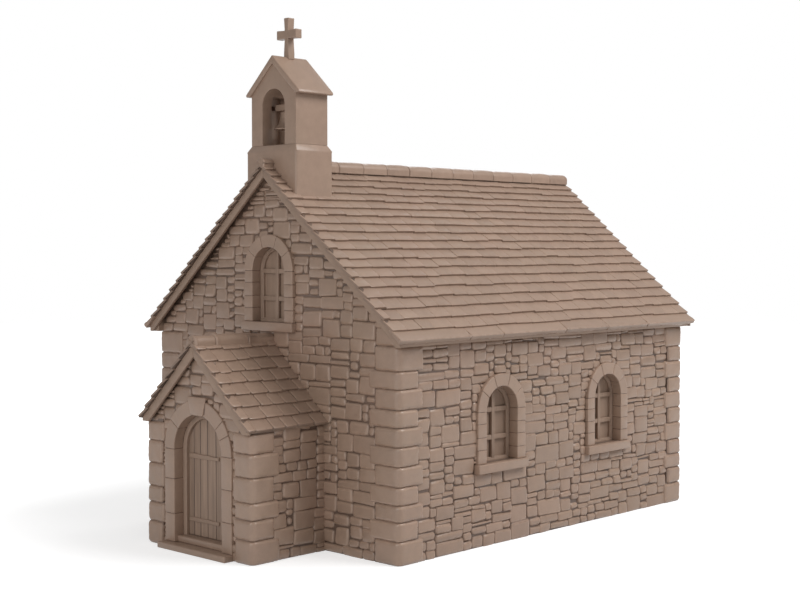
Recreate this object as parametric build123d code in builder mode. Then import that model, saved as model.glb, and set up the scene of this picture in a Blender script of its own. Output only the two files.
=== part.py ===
"""Small stone chapel with a gabled porch, a plank door and a bell-cote over its front gable.

Millimetres, +Z up. The origin is at ground level under the middle of the nave's plan. The nave runs
along Y with its entrance at -Y, and X = 0 is the plane of symmetry through ridge, door and bell.
"""

import os
from math import cos, radians, sin, tan

from build123d import *

os.makedirs("parts", exist_ok=True)

# Nave walls, measured on their wall faces, without the proud corner stones
nave_half_width = 2905
nave_length = 7670
wall_thick = 600
front_wall_thick = 900
inner_door_half = 550
inner_door_spring = 1600
arch_split_drop = 100
eaves_soffit = 3330
floor_level = 200

# Corner stones, proud of the wall faces
quoin_proud = 28
quoin_front_width = 515
quoin_side_width = 430
quoin_arris = 85

# Nave roof
roof_pitch = 41.2
roof_courses = 20
slate_lift = 38
slate_bed = 24
slate_overhang = 105
board_thick = 30
eaves_reach = 180
eaves_fascia = 75
cornice_nose = 35
cornice_edge_height = 40
verge_front = 220
verge_rear = 210
bargeboard_thick = 55
bargeboard_depth = 130
bargeboard_inset = 40
mitre_gap = 2
rafter_depth = 120
rafter_width = 80
rafter_count = 10
rafter_end_space = 150
ridge_beam_half = 35
ridge_beam_depth = 220
ridge_tile_radius = 112
ridge_tile_rise = 67
ridge_tile_collar = 9
ridge_tile_lap = 70
ridge_tile_flat_count = 8
ridge_tiles_rear = 12

# Porch
porch_half_width = 1263
porch_depth = 1500
porch_wall_thick = 400
porch_quoin_space = 95
porch_eaves = 1998
porch_pitch = 43.5
porch_courses = 8
porch_verge = 174
porch_board_thick = 25
porch_eaves_reach = 72
porch_slate_overhang = 70
porch_bargeboard_depth = 150
porch_tile_radius = 88
porch_tile_rise = 12
porch_tile_first = 409
porch_tile_length = 667
porch_quoin_clear = 12

# Doorway, door frame and door
door_half = 597
door_spring = 1600
door_reveal = 125
door_rebate = 103
door_surround_width = 224
door_surround_proud = 46
keystone_top_half = 220
keystone_foot_half = 145
keystone_rise = 45
keystone_proud = 12
frame_face = 80
frame_clear = 10
frame_thick = 62
door_leaf_lap = 23
door_leaf_thick = 46
door_stop_gap = 5
door_foot_gap = 10
ledge_heights = (465, 1490)
ledge_hinge_depth = 124
ledge_tip_depth = 81
ledge_length = 750
ledge_proud = 22
ledge_inset = 20
pin_radius = 10
pin_clear = 0.3
eye_radius = 18
band_thick = 8
band_height = 60
band_length = 760
pin_side_offset = 12
pin_shoulder = 30
step_half = 850
step_depth = 215
step_rise = 100

# Windows
window_half = 400
window_jamb = 840
window_reveal = 105
window_rebate = 45
window_head_cut_count = 6
window_surround_width = 190
window_surround_proud = 66
window_sill_reach = 40
window_sill_proud = 130
window_sill_height = 150
window_frame_face = 73
window_frame_clear = 5
window_frame_thick = 60
window_pane_thick = 20
window_pane_setback = 110
gable_sill_clear = 29
side_window_sill = 1345
side_window_offset = 1475

# Bell-cote, each height measured from the stage below it
cote_half_width = 617
cote_depth = 817
cote_rise = 166
cote_weathering = 114
shaft_half_width = 547
shaft_depth = 700
cote_arch_half = 275
cote_jamb = 647
chamber_half = 400
chamber_depth = 300
chamber_rise = 165
cap_half_width = 657
cap_depth = 780
cap_pitch = 43
cap_rise = 826
cap_thick = 100
cap_fascia = 45
cross_height = 638
cross_thick = 137
cross_post_half = 40
cross_post_flare = 52
cross_arm_half = 238
cross_arm_rise = 294
cross_arm_height = 140
cross_arm_flare = 8

# Bell and its headstock
headstock_drop = 5
headstock_half = 285
headstock_height = 100
headstock_depth = 110
gudgeon_radius = 16
bearing_block = 70
bearing_thick = 60
bell_hang = 375
bell_lip_radius = 262
bell_lip_depth = 30
bell_shoulder_radius = 150
bell_shoulder_bevel = 12
bell_wall = 26
bell_crown_gap = 22
bell_flare_power = 2.4
bell_run_count = 5
bell_side_count = 32
clapper_ball_radius = 38
clapper_rod_radius = 11

# Places worked out from the sizes above
front_y = -nave_length / 2
rear_y = nave_length / 2
inner_front_y = front_y + front_wall_thick
inner_rear_y = rear_y - wall_thick
inner_half_width = nave_half_width - wall_thick
porch_front_y = front_y - porch_depth
porch_inner_y = porch_front_y + porch_wall_thick
porch_inner_half = porch_half_width - porch_wall_thick
arch_split = min(door_spring, inner_door_spring) - arch_split_drop
door_rebate_half = door_half + door_rebate
surround_outer = door_half + door_surround_width
porch_quoin_front_width = porch_half_width + quoin_proud - surround_outer - porch_quoin_space
door_leaf_half = door_half - frame_face + door_leaf_lap
window_sill_half = window_half + window_surround_width + window_sill_reach
slate_depth = slate_lift + slate_bed
roof_deck_depth = slate_depth + board_thick
porch_deck_depth = slate_depth + porch_board_thick
board_edge_x = nave_half_width + eaves_reach
roof_eave_x = board_edge_x + slate_overhang
porch_board_edge_x = porch_half_width + porch_eaves_reach
porch_eave_x = porch_board_edge_x + porch_slate_overhang
cote_y = front_y + cote_depth / 2


def ridge_over(foot_z, pitch, depth, edge_x):
    """Height where the planes through the butts meet, with their deck's underside at foot_z over edge_x."""
    return foot_z + depth / cos(radians(pitch)) + edge_x * tan(radians(pitch))


# Heights of both ridges, and of everything that stands on them
roof_ridge = ridge_over(eaves_soffit + eaves_fascia, roof_pitch, roof_deck_depth, board_edge_x)
porch_ridge = ridge_over(porch_eaves + porch_board_thick, porch_pitch, porch_deck_depth, porch_board_edge_x)
gable_window_sill = porch_ridge + porch_tile_rise + gable_sill_clear + window_sill_height
cote_shoulder = roof_ridge + cote_rise
cote_top = cote_shoulder + cote_weathering
cote_arch_spring = cote_top + cote_jamb
chamber_top = cote_arch_spring + chamber_rise
cap_ridge = cote_arch_spring + cap_rise
cross_top = cap_ridge + cross_height
cross_arm_low = cap_ridge + cross_arm_rise
cross_arm_high = cross_arm_low + cross_arm_height
headstock_axis_z = cote_arch_spring - headstock_drop
bell_lip_z = headstock_axis_z - bell_hang


def facing_front(y):
    """Upright plane at this y, seen from the entrance: local x is X, local y is Z."""
    return Plane(origin=(0, y, 0), x_dir=(1, 0, 0), z_dir=(0, -1, 0))


def facing_side(x):
    """Upright plane at this x, seen from +X: local x is Y, local y is Z."""
    return Plane(origin=(x, 0, 0), x_dir=(0, 1, 0), z_dir=(1, 0, 0))


def outline(plane, points):
    """Closed face through the points of one plane."""
    with BuildSketch(plane) as sketch:
        with BuildLine():
            Polyline(*points, close=True)
        make_face()
    return sketch.sketch


def footprint(x_low, x_high, y_low, y_high, z):
    """Level rectangle between two corners at height z."""
    with BuildSketch(Plane.XY.offset(z)) as sketch:
        with Locations(((x_low + x_high) / 2, (y_low + y_high) / 2)):
            Rectangle(x_high - x_low, y_high - y_low)
    return sketch.sketch


def corner_footprint(x_low, x_high, y_low, y_high, z, corner_x, corner_y):
    """The same rectangle with its outer corner rounded, as the corner stones are."""
    with BuildSketch(Plane.XY.offset(z)) as sketch:
        add(footprint(x_low, x_high, y_low, y_high, z))
        outer = min(sketch.vertices(), key=lambda vertex: abs(vertex.X - corner_x) + abs(vertex.Y - corner_y))
        fillet(outer, quoin_arris)
    return sketch.sketch


def round_headed(plane, centre, half, sill, spring):
    """Opening with upright jambs from sill to spring and a half-round head."""
    with BuildSketch(plane) as sketch:
        with BuildLine():
            Polyline((centre - half, spring), (centre - half, sill), (centre + half, sill), (centre + half, spring))
            ThreePointArc((centre + half, spring), (centre, spring + half), (centre - half, spring))
        make_face()
    return sketch.sketch


def plane_z(ridge, pitch, depth, x):
    """Height at x of the roof plane that lies this deep under the plane through the butts."""
    return ridge - depth / cos(radians(pitch)) - abs(x) * tan(radians(pitch))


def slope_point(ridge, pitch, run, lift):
    """Point of the right-hand slope: run down it from the ridge, lift square to it."""
    angle = radians(pitch)
    return (run * cos(angle) + lift * sin(angle), ridge - run * sin(angle) + lift * cos(angle))


def slate_profile(ridge, pitch, eave_x, courses, side):
    """Section of one slated slope: each course tilts up to its butt and drops plumb to the next."""
    gauge = eave_x / cos(radians(pitch)) / courses
    points = [(0, plane_z(ridge, pitch, slate_depth, 0)), (0, plane_z(ridge, pitch, slate_lift, 0))]
    for course in range(1, courses):
        butt_x, butt_z = slope_point(ridge, pitch, course * gauge, 0)
        head_x, head_z = slope_point(ridge, pitch, course * gauge, -slate_lift)
        next_x, next_z = slope_point(ridge, pitch, (course + 1) * gauge, 0)
        seat_z = head_z + (next_z - head_z) * (butt_x - head_x) / (next_x - head_x)
        points.append((butt_x, butt_z))
        points.append((butt_x, seat_z))
    points.append(slope_point(ridge, pitch, courses * gauge, 0))
    points.append(slope_point(ridge, pitch, courses * gauge, -slate_depth))
    return [(side * x, z) for x, z in points]


def verge_board(ridge, pitch, depth, edge_x, foot_z, side):
    """Section of one bargeboard: plumb at the mitre, plumb and level cuts at its foot."""
    top = slate_depth
    low = slate_depth + depth
    foot_x = (plane_z(ridge, pitch, low, 0) - foot_z) / tan(radians(pitch))
    points = [
        (mitre_gap / 2, plane_z(ridge, pitch, low, mitre_gap / 2)),
        (mitre_gap / 2, plane_z(ridge, pitch, top, mitre_gap / 2)),
        (edge_x, plane_z(ridge, pitch, top, edge_x)),
        (edge_x, foot_z),
        (foot_x, foot_z),
    ]
    return [(side * x, z) for x, z in points]


def ridge_tile_face(plane, ridge, pitch, eave_x, courses, radius, top):
    """Tile section of narrow flats that sits on the first course of both slopes."""
    gauge = eave_x / cos(radians(pitch)) / courses
    apex_z = plane_z(ridge, pitch, slate_lift, 0)
    butt_x, butt_z = slope_point(ridge, pitch, gauge, 0)
    reach = radius * 1.2
    side_z = apex_z + (butt_z - apex_z) * reach / butt_x
    with BuildSketch(plane) as sketch:
        with Locations((0, top - radius)):
            RegularPolygon(radius, ridge_tile_flat_count)
        with BuildLine():
            Polyline(
                (0, apex_z),
                (reach, side_z),
                (reach, side_z - 2 * radius),
                (-reach, side_z - 2 * radius),
                (-reach, side_z),
                close=True,
            )
        make_face(mode=Mode.SUBTRACT)
    return sketch.sketch


def window_places():
    """Plane of the wall face, local centre, sill height and inward direction of each window."""
    places = [
        (facing_front(front_y), 0, gable_window_sill, -1),
        (facing_front(rear_y), 0, gable_window_sill, 1),
    ]
    for side in (-1, 1):
        for offset in (-side_window_offset, side_window_offset):
            places.append((facing_side(side * nave_half_width), offset, side_window_sill, -side))
    return places


def window_cut(place, half, depth_from, depth_to, lift=0):
    """Round-headed solid of a window between two depths behind the wall face."""
    plane, centre, sill, inward = place
    start = plane.offset(inward * depth_from)
    face = round_headed(start, centre, half, sill + lift, sill + window_jamb)
    return extrude(face, amount=inward * (depth_to - depth_from), mode=Mode.PRIVATE)


def rebate_form(place, half, depth_from, depth_to):
    """Form of a window's rebate and of what fits it, its hidden head cut to straight lines in the round."""
    plane, centre, sill, inward = place
    spring = sill + window_jamb
    points = [(centre + half, sill)]
    for cut in range(window_head_cut_count + 1):
        turn = radians(180 * cut / window_head_cut_count)
        points.append((centre + half * cos(turn), spring + half * sin(turn)))
    points.append((centre - half, sill))
    face = outline(plane.offset(inward * depth_from), points)
    return extrude(face, amount=inward * (depth_to - depth_from), mode=Mode.PRIVATE)


def window_opening(place, wall):
    """The two steps of a window's hole: the outer reveal and the wider rebate behind it."""
    outer = window_cut(place, window_half, 0, window_reveal)
    inner = rebate_form(place, window_half + window_rebate, window_reveal, wall)
    return outer + inner


windows = window_places()

# Side walls of the nave, topped by the slope that the rafters lie on
rafter_under = roof_deck_depth + rafter_depth
for side, wall_name in ((-1, "left_wall"), (1, "right_wall")):
    with BuildPart() as side_wall:
        wall_section = [
            (side * inner_half_width, 0),
            (side * nave_half_width, 0),
            (side * nave_half_width, plane_z(roof_ridge, roof_pitch, rafter_under, nave_half_width)),
            (side * inner_half_width, plane_z(roof_ridge, roof_pitch, rafter_under, inner_half_width)),
        ]
        extrude(outline(facing_front(inner_front_y), wall_section), amount=inner_front_y - inner_rear_y)
        for place in windows[2:]:
            if place[3] == -side:
                add(window_opening(place, wall_thick), mode=Mode.SUBTRACT)
    side_wall.part.label = wall_name
    export_step(side_wall.part, f"parts/{wall_name}.step")

# Front wall of the nave beside the inner doorway
for side, wall_name in ((-1, "front_wall_left"), (1, "front_wall_right")):
    with BuildPart() as front_wall:
        x_low = min(side * inner_door_half, side * inner_half_width)
        x_high = max(side * inner_door_half, side * inner_half_width)
        extrude(footprint(x_low, x_high, front_y, inner_front_y, 0), amount=arch_split)
    front_wall.part.label = wall_name
    export_step(front_wall.part, f"parts/{wall_name}.step")

# Front gable over the inner doorway, cut level where the bell-cote stands on it
cote_foot = plane_z(roof_ridge, roof_pitch, roof_deck_depth, cote_half_width)
wall_head = plane_z(roof_ridge, roof_pitch, roof_deck_depth, nave_half_width)
with BuildPart() as front_gable:
    gable_section = [
        (-inner_half_width, arch_split),
        (inner_half_width, arch_split),
        (inner_half_width, eaves_soffit),
        (nave_half_width, eaves_soffit),
        (nave_half_width, wall_head),
        (cote_half_width, cote_foot),
        (-cote_half_width, cote_foot),
        (-nave_half_width, wall_head),
        (-nave_half_width, eaves_soffit),
        (-inner_half_width, eaves_soffit),
    ]
    extrude(outline(facing_front(front_y), gable_section), amount=-front_wall_thick)
    inner_arch = round_headed(facing_front(front_y), 0, inner_door_half, 0, inner_door_spring)
    extrude(inner_arch, amount=-front_wall_thick, mode=Mode.SUBTRACT)
    add(window_opening(windows[0], front_wall_thick), mode=Mode.SUBTRACT)
front_gable.part.label = "front_gable"
export_step(front_gable.part, "parts/front_gable.step")

# Rear wall with its gable
with BuildPart() as rear_wall:
    rear_section = [
        (-inner_half_width, 0),
        (inner_half_width, 0),
        (inner_half_width, eaves_soffit),
        (nave_half_width, eaves_soffit),
        (nave_half_width, wall_head),
        (0, plane_z(roof_ridge, roof_pitch, roof_deck_depth, 0)),
        (-nave_half_width, wall_head),
        (-nave_half_width, eaves_soffit),
        (-inner_half_width, eaves_soffit),
    ]
    extrude(outline(facing_front(inner_rear_y), rear_section), amount=-wall_thick)
    add(window_opening(windows[1], wall_thick), mode=Mode.SUBTRACT)
rear_wall.part.label = "rear_wall"
export_step(rear_wall.part, "parts/rear_wall.step")

# Corner piers of dressed stone, proud of both wall faces
with BuildPart() as corner_piers:
    for side in (-1, 1):
        for end, pier_inner_y in ((-1, inner_front_y), (1, inner_rear_y)):
            face_y = end * nave_length / 2
            core_x = sorted((side * inner_half_width, side * nave_half_width))
            core_y = sorted((face_y, pier_inner_y))
            extrude(footprint(*core_x, *core_y, 0), amount=eaves_soffit)
            proud_x = side * (nave_half_width + quoin_proud)
            proud_y = end * (nave_length / 2 + quoin_proud)
            quoin_x = sorted((proud_x, proud_x - side * quoin_front_width))
            quoin_y = sorted((proud_y, proud_y - end * quoin_side_width))
            extrude(corner_footprint(*quoin_x, *quoin_y, 0, proud_x, proud_y), amount=eaves_soffit)
corner_piers.part.label = "corner_piers"
export_step(corner_piers.part, "parts/corner_piers.step")

# Floors: the nave's, and the porch's with the passage through the front wall
with BuildPart() as nave_floor:
    extrude(footprint(-inner_half_width, inner_half_width, inner_front_y, inner_rear_y, 0), amount=floor_level)
nave_floor.part.label = "nave_floor"
export_step(nave_floor.part, "parts/nave_floor.step")

with BuildPart() as porch_floor:
    door_back_y = porch_front_y + door_reveal
    extrude(footprint(-porch_inner_half, porch_inner_half, porch_inner_y, front_y, 0), amount=floor_level)
    extrude(footprint(-inner_door_half, inner_door_half, front_y, inner_front_y, 0), amount=floor_level)
    extrude(footprint(-door_rebate_half, door_rebate_half, door_back_y, porch_inner_y, 0), amount=floor_level)
porch_floor.part.label = "porch_floor"
export_step(porch_floor.part, "parts/porch_floor.step")

# Porch front beside the doorway, with its corner stones
quoin_edge_x = porch_half_width + quoin_proud
quoin_face_y = porch_front_y - quoin_proud
for side, pier_name in ((-1, "porch_pier_left"), (1, "porch_pier_right")):
    with BuildPart() as porch_pier:
        pier_x = sorted((side * door_half, side * porch_half_width))
        rear_x = sorted((side * door_rebate_half, side * porch_half_width))
        quoin_x = sorted((side * quoin_edge_x, side * (quoin_edge_x - porch_quoin_front_width)))
        extrude(footprint(*pier_x, porch_front_y, door_back_y, 0), amount=arch_split)
        extrude(footprint(*rear_x, door_back_y, porch_inner_y, 0), amount=arch_split)
        extrude(corner_footprint(*quoin_x, quoin_face_y, porch_inner_y, 0, side * quoin_edge_x, quoin_face_y),
                amount=arch_split)
    porch_pier.part.label = pier_name
    export_step(porch_pier.part, f"parts/{pier_name}.step")

# Porch gable over the doorway
porch_wall_head = plane_z(porch_ridge, porch_pitch, porch_deck_depth, porch_half_width)
porch_quoin_top = plane_z(porch_ridge, porch_pitch, porch_deck_depth, quoin_edge_x) - porch_quoin_clear
with BuildPart() as porch_gable:
    porch_section = [
        (-porch_half_width, arch_split),
        (porch_half_width, arch_split),
        (porch_half_width, porch_wall_head),
        (0, plane_z(porch_ridge, porch_pitch, porch_deck_depth, 0)),
        (-porch_half_width, porch_wall_head),
    ]
    extrude(outline(facing_front(porch_front_y), porch_section), amount=-porch_wall_thick)
    for side in (-1, 1):
        quoin_x = sorted((side * quoin_edge_x, side * (quoin_edge_x - porch_quoin_front_width)))
        corner = corner_footprint(*quoin_x, quoin_face_y, porch_inner_y, arch_split, side * quoin_edge_x, quoin_face_y)
        extrude(corner, amount=porch_quoin_top - arch_split)
    front_arch = round_headed(facing_front(porch_front_y), 0, door_half, 0, door_spring)
    extrude(front_arch, amount=-door_reveal, mode=Mode.SUBTRACT)
    rear_arch = round_headed(facing_front(door_back_y), 0, door_rebate_half, 0, door_spring)
    extrude(rear_arch, amount=door_reveal - porch_wall_thick, mode=Mode.SUBTRACT)
porch_gable.part.label = "porch_gable"
export_step(porch_gable.part, "parts/porch_gable.step")

# Porch side walls
for side, wall_name in ((-1, "porch_wall_left"), (1, "porch_wall_right")):
    with BuildPart() as porch_wall:
        side_section = [
            (side * porch_inner_half, 0),
            (side * porch_half_width, 0),
            (side * porch_half_width, porch_wall_head),
            (side * porch_inner_half, plane_z(porch_ridge, porch_pitch, porch_deck_depth, porch_inner_half)),
        ]
        extrude(outline(facing_front(porch_inner_y), side_section), amount=porch_inner_y - front_y)
    porch_wall.part.label = wall_name
    export_step(porch_wall.part, f"parts/{wall_name}.step")

# Step and threshold
with BuildPart() as door_step:
    extrude(footprint(-step_half, step_half, porch_front_y - step_depth, porch_front_y, 0), amount=step_rise)
    extrude(footprint(-door_half, door_half, porch_front_y, door_back_y, 0), amount=step_rise)
door_step.part.label = "door_step"
export_step(door_step.part, "parts/door_step.step")

with BuildPart() as threshold:
    extrude(footprint(-door_half, door_half, porch_front_y, door_back_y, step_rise), amount=floor_level - step_rise)
threshold.part.label = "threshold"
export_step(threshold.part, "parts/threshold.step")

# Dressed surround of the doorway with its keystone
with BuildPart() as door_surround:
    extrude(round_headed(facing_front(porch_front_y), 0, surround_outer, step_rise, door_spring),
            amount=door_surround_proud)
    keystone_section = [
        (-keystone_foot_half, door_spring),
        (keystone_foot_half, door_spring),
        (keystone_top_half, door_spring + surround_outer + keystone_rise),
        (-keystone_top_half, door_spring + surround_outer + keystone_rise),
    ]
    extrude(outline(facing_front(porch_front_y), keystone_section), amount=door_surround_proud + keystone_proud)
    extrude(round_headed(facing_front(porch_front_y), 0, door_half, 0, door_spring),
            amount=door_surround_proud + keystone_proud, mode=Mode.SUBTRACT)
door_surround.part.label = "door_surround"
export_step(door_surround.part, "parts/door_surround.step")

# Timber door frame against the back of the reveal
frame_outer = door_rebate_half - frame_clear
frame_inner = door_half - frame_face
with BuildPart() as door_frame:
    extrude(round_headed(facing_front(door_back_y), 0, frame_outer, floor_level, door_spring), amount=-frame_thick)
    extrude(round_headed(facing_front(door_back_y), 0, frame_inner, 0, door_spring), amount=-frame_thick,
            mode=Mode.SUBTRACT)
door_frame.part.label = "door_frame"
export_step(door_frame.part, "parts/door_frame.step")

# Arched door leaf behind the frame
leaf_front_y = door_back_y + frame_thick + door_stop_gap
leaf_back_y = leaf_front_y + door_leaf_thick
with BuildPart() as door_leaf:
    leaf_face = round_headed(facing_front(leaf_front_y), 0, door_leaf_half, floor_level + door_foot_gap, door_spring)
    extrude(leaf_face, amount=-door_leaf_thick)
door_leaf.part.label = "door_leaf"
export_step(door_leaf.part, "parts/door_leaf.step")

# Tapered ledges across the planks, broad at the hinge side
ledge_left = -frame_inner + ledge_inset
ledge_right = ledge_left + ledge_length
with BuildPart() as door_ledges:
    for height in ledge_heights:
        ledge_section = [
            (ledge_left, height - ledge_hinge_depth / 2),
            (ledge_right, height - ledge_tip_depth / 2),
            (ledge_right, height + ledge_tip_depth / 2),
            (ledge_left, height + ledge_hinge_depth / 2),
        ]
        extrude(outline(facing_front(leaf_front_y), ledge_section), amount=ledge_proud)
door_ledges.part.label = "door_ledges"
export_step(door_ledges.part, "parts/door_ledges.step")

# Hinge bands on the back of the leaf behind the ledges, each with an eye that drops over its pin
pin_x = -door_leaf_half - pin_side_offset
pin_y = leaf_back_y + eye_radius
hinge_heights = [height - band_height / 2 for height in ledge_heights]
with BuildPart() as hinge_bands:
    for height in hinge_heights:
        extrude(footprint(pin_x, pin_x + band_length, leaf_back_y, leaf_back_y + band_thick, height),
                amount=band_height)
        with BuildSketch(Plane.XY.offset(height)) as eye:
            with Locations((pin_x, pin_y)):
                Circle(eye_radius)
        extrude(eye.sketch, amount=band_height)
        with BuildSketch(Plane.XY.offset(height)) as eye_hole:
            with Locations((pin_x, pin_y)):
                Circle(pin_radius + pin_clear)
        extrude(eye_hole.sketch, amount=band_height, mode=Mode.SUBTRACT)
hinge_bands.part.label = "hinge_bands"
export_step(hinge_bands.part, "parts/hinge_bands.step")

# Pins that carry the bands, on arms let into the left jamb
with BuildPart() as hinge_pins:
    for height in hinge_heights:
        with BuildSketch(Plane.XY.offset(height - pin_clear - pin_shoulder)) as arm:
            with Locations((pin_x, pin_y)):
                Circle(eye_radius)
            with BuildLine():
                Polyline(
                    (pin_x, pin_y - eye_radius),
                    (pin_x, pin_y + eye_radius),
                    (-door_rebate_half, pin_y + eye_radius),
                    (-door_rebate_half, pin_y - eye_radius),
                    close=True,
                )
            make_face()
        extrude(arm.sketch, amount=pin_shoulder)
        with BuildSketch(Plane.XY.offset(height - pin_clear)) as pin:
            with Locations((pin_x, pin_y)):
                Circle(pin_radius)
        extrude(pin.sketch, amount=band_height)
hinge_pins.part.label = "hinge_pins"
export_step(hinge_pins.part, "parts/hinge_pins.step")

# Window surrounds, sills, frames and panes
with BuildPart() as window_surrounds:
    for place in windows:
        ring = window_cut(place, window_half + window_surround_width, -window_surround_proud, 0)
        hole = window_cut(place, window_half, -window_surround_proud, 0)
        add(ring - hole)
window_surrounds.part.label = "window_surrounds"
export_step(window_surrounds.part, "parts/window_surrounds.step")

with BuildPart() as window_sills:
    for plane, centre, sill, inward in windows:
        sill_section = [
            (centre - window_sill_half, sill - window_sill_height),
            (centre + window_sill_half, sill - window_sill_height),
            (centre + window_sill_half, sill),
            (centre - window_sill_half, sill),
        ]
        extrude(outline(plane, sill_section), amount=-inward * window_sill_proud)
window_sills.part.label = "window_sills"
export_step(window_sills.part, "parts/window_sills.step")

window_board_half = window_half + window_rebate - window_frame_clear
window_frame_inner = window_half - window_frame_face
frame_back = window_reveal + window_frame_thick
with BuildPart() as window_frames:
    for place in windows:
        ring = rebate_form(place, window_board_half, window_reveal, frame_back)
        hole = window_cut(place, window_frame_inner, window_reveal, frame_back, window_frame_face)
        add(ring - hole)
window_frames.part.label = "window_frames"
export_step(window_frames.part, "parts/window_frames.step")

pane_front = frame_back + window_pane_setback
with BuildPart() as window_panes:
    for place in windows:
        add(rebate_form(place, window_board_half, pane_front, pane_front + window_pane_thick))
window_panes.part.label = "window_panes"
export_step(window_panes.part, "parts/window_panes.step")

# Rafters and ridge beam under the nave roof
roof_inner_length = inner_rear_y - inner_front_y
beam_half = ridge_beam_half
beam_top = plane_z(roof_ridge, roof_pitch, roof_deck_depth, beam_half)
with BuildPart() as ridge_beam:
    beam_section = [
        (-beam_half, beam_top - ridge_beam_depth),
        (beam_half, beam_top - ridge_beam_depth),
        (beam_half, beam_top),
        (0, plane_z(roof_ridge, roof_pitch, roof_deck_depth, 0)),
        (-beam_half, beam_top),
    ]
    extrude(outline(facing_front(inner_front_y), beam_section), amount=-roof_inner_length)
ridge_beam.part.label = "ridge_beam"
export_step(ridge_beam.part, "parts/ridge_beam.step")

rafter_pitch = (roof_inner_length - 2 * rafter_end_space - rafter_width) / (rafter_count - 1)
with BuildPart() as rafters:
    for side in (-1, 1):
        rafter_section = [
            (side * beam_half, plane_z(roof_ridge, roof_pitch, rafter_under, beam_half)),
            (side * beam_half, beam_top),
            (side * nave_half_width, wall_head),
            (side * nave_half_width, plane_z(roof_ridge, roof_pitch, rafter_under, nave_half_width)),
        ]
        for index in range(rafter_count):
            rafter_y = inner_front_y + rafter_end_space + index * rafter_pitch
            extrude(outline(facing_front(rafter_y), rafter_section), amount=-rafter_width)
rafters.part.label = "rafters"
export_step(rafters.part, "parts/rafters.step")

# Roof boards in one chevron, notched round the bell-cote
boards_front_y = front_y - verge_front + bargeboard_inset + bargeboard_thick
boards_rear_y = rear_y + verge_rear - bargeboard_inset - bargeboard_thick
cote_front_y = cote_y - cote_depth / 2
cote_rear_y = cote_y + cote_depth / 2
cote_hole = footprint(-cote_half_width, cote_half_width, cote_front_y, cote_rear_y, cote_foot)
with BuildPart() as roof_boards:
    edge_top = plane_z(roof_ridge, roof_pitch, slate_depth, board_edge_x)
    edge_low = plane_z(roof_ridge, roof_pitch, roof_deck_depth, board_edge_x)
    board_section = [
        (0, plane_z(roof_ridge, roof_pitch, roof_deck_depth, 0)),
        (board_edge_x, edge_low),
        (board_edge_x, edge_top),
        (0, plane_z(roof_ridge, roof_pitch, slate_depth, 0)),
        (-board_edge_x, edge_top),
        (-board_edge_x, edge_low),
    ]
    extrude(outline(facing_front(boards_front_y), board_section), amount=boards_front_y - boards_rear_y)
    extrude(cote_hole, amount=roof_ridge, mode=Mode.SUBTRACT)
roof_boards.part.label = "roof_boards"
export_step(roof_boards.part, "parts/roof_boards.step")

# Slated slopes of the nave
slates_front_y = front_y - verge_front
slates_rear_y = rear_y + verge_rear
for side, slope_name in ((-1, "roof_slates_left"), (1, "roof_slates_right")):
    with BuildPart() as roof_slates:
        section = slate_profile(roof_ridge, roof_pitch, roof_eave_x, roof_courses, side)
        extrude(outline(facing_front(slates_front_y), section), amount=slates_front_y - slates_rear_y)
        extrude(cote_hole, amount=roof_ridge, mode=Mode.SUBTRACT)
    roof_slates.part.label = slope_name
    export_step(roof_slates.part, f"parts/{slope_name}.step")

# Boxed eaves boards along both side walls
with BuildPart() as eaves_boards:
    for side in (-1, 1):
        cornice_section = [
            (side * nave_half_width, eaves_soffit),
            (side * (board_edge_x - cornice_nose), eaves_soffit),
            (side * board_edge_x, eaves_soffit + cornice_edge_height),
            (side * board_edge_x, edge_low),
            (side * nave_half_width, wall_head),
        ]
        extrude(outline(facing_front(boards_front_y), cornice_section), amount=boards_front_y - boards_rear_y)
eaves_boards.part.label = "eaves_boards"
export_step(eaves_boards.part, "parts/eaves_boards.step")

# Bargeboards of both nave gables
verge_faces = (
    ("front_bargeboards", slates_front_y + bargeboard_inset),
    ("rear_bargeboards", slates_rear_y - bargeboard_inset - bargeboard_thick),
)
for board_name, face_y in verge_faces:
    with BuildPart() as bargeboards:
        for side in (-1, 1):
            section = verge_board(roof_ridge, roof_pitch, bargeboard_depth, board_edge_x, eaves_soffit, side)
            extrude(outline(facing_front(face_y), section), amount=-bargeboard_thick)
    bargeboards.part.label = board_name
    export_step(bargeboards.part, f"parts/{board_name}.step")

# Ridge tiles of the nave: a short one before the bell-cote and a row behind it
ridge_args = (roof_ridge, roof_pitch, roof_eave_x, roof_courses)
tile_top = roof_ridge + ridge_tile_rise
tile_length = (slates_rear_y - cote_rear_y) / ridge_tiles_rear
with BuildPart() as ridge_tiles:
    front_tile = ridge_tile_face(facing_front(slates_front_y), *ridge_args, ridge_tile_radius, tile_top)
    extrude(front_tile, amount=slates_front_y - cote_front_y)
    rear_tile = ridge_tile_face(facing_front(cote_rear_y), *ridge_args, ridge_tile_radius, tile_top)
    extrude(rear_tile, amount=cote_rear_y - slates_rear_y)
    for index in range(1, ridge_tiles_rear):
        collar_y = cote_rear_y + index * tile_length
        collar_radius = ridge_tile_radius + ridge_tile_collar
        collar = ridge_tile_face(facing_front(collar_y), *ridge_args, collar_radius, tile_top + ridge_tile_collar)
        extrude(collar, amount=-ridge_tile_lap)
ridge_tiles.part.label = "ridge_tiles"
export_step(ridge_tiles.part, "parts/ridge_tiles.step")

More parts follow.
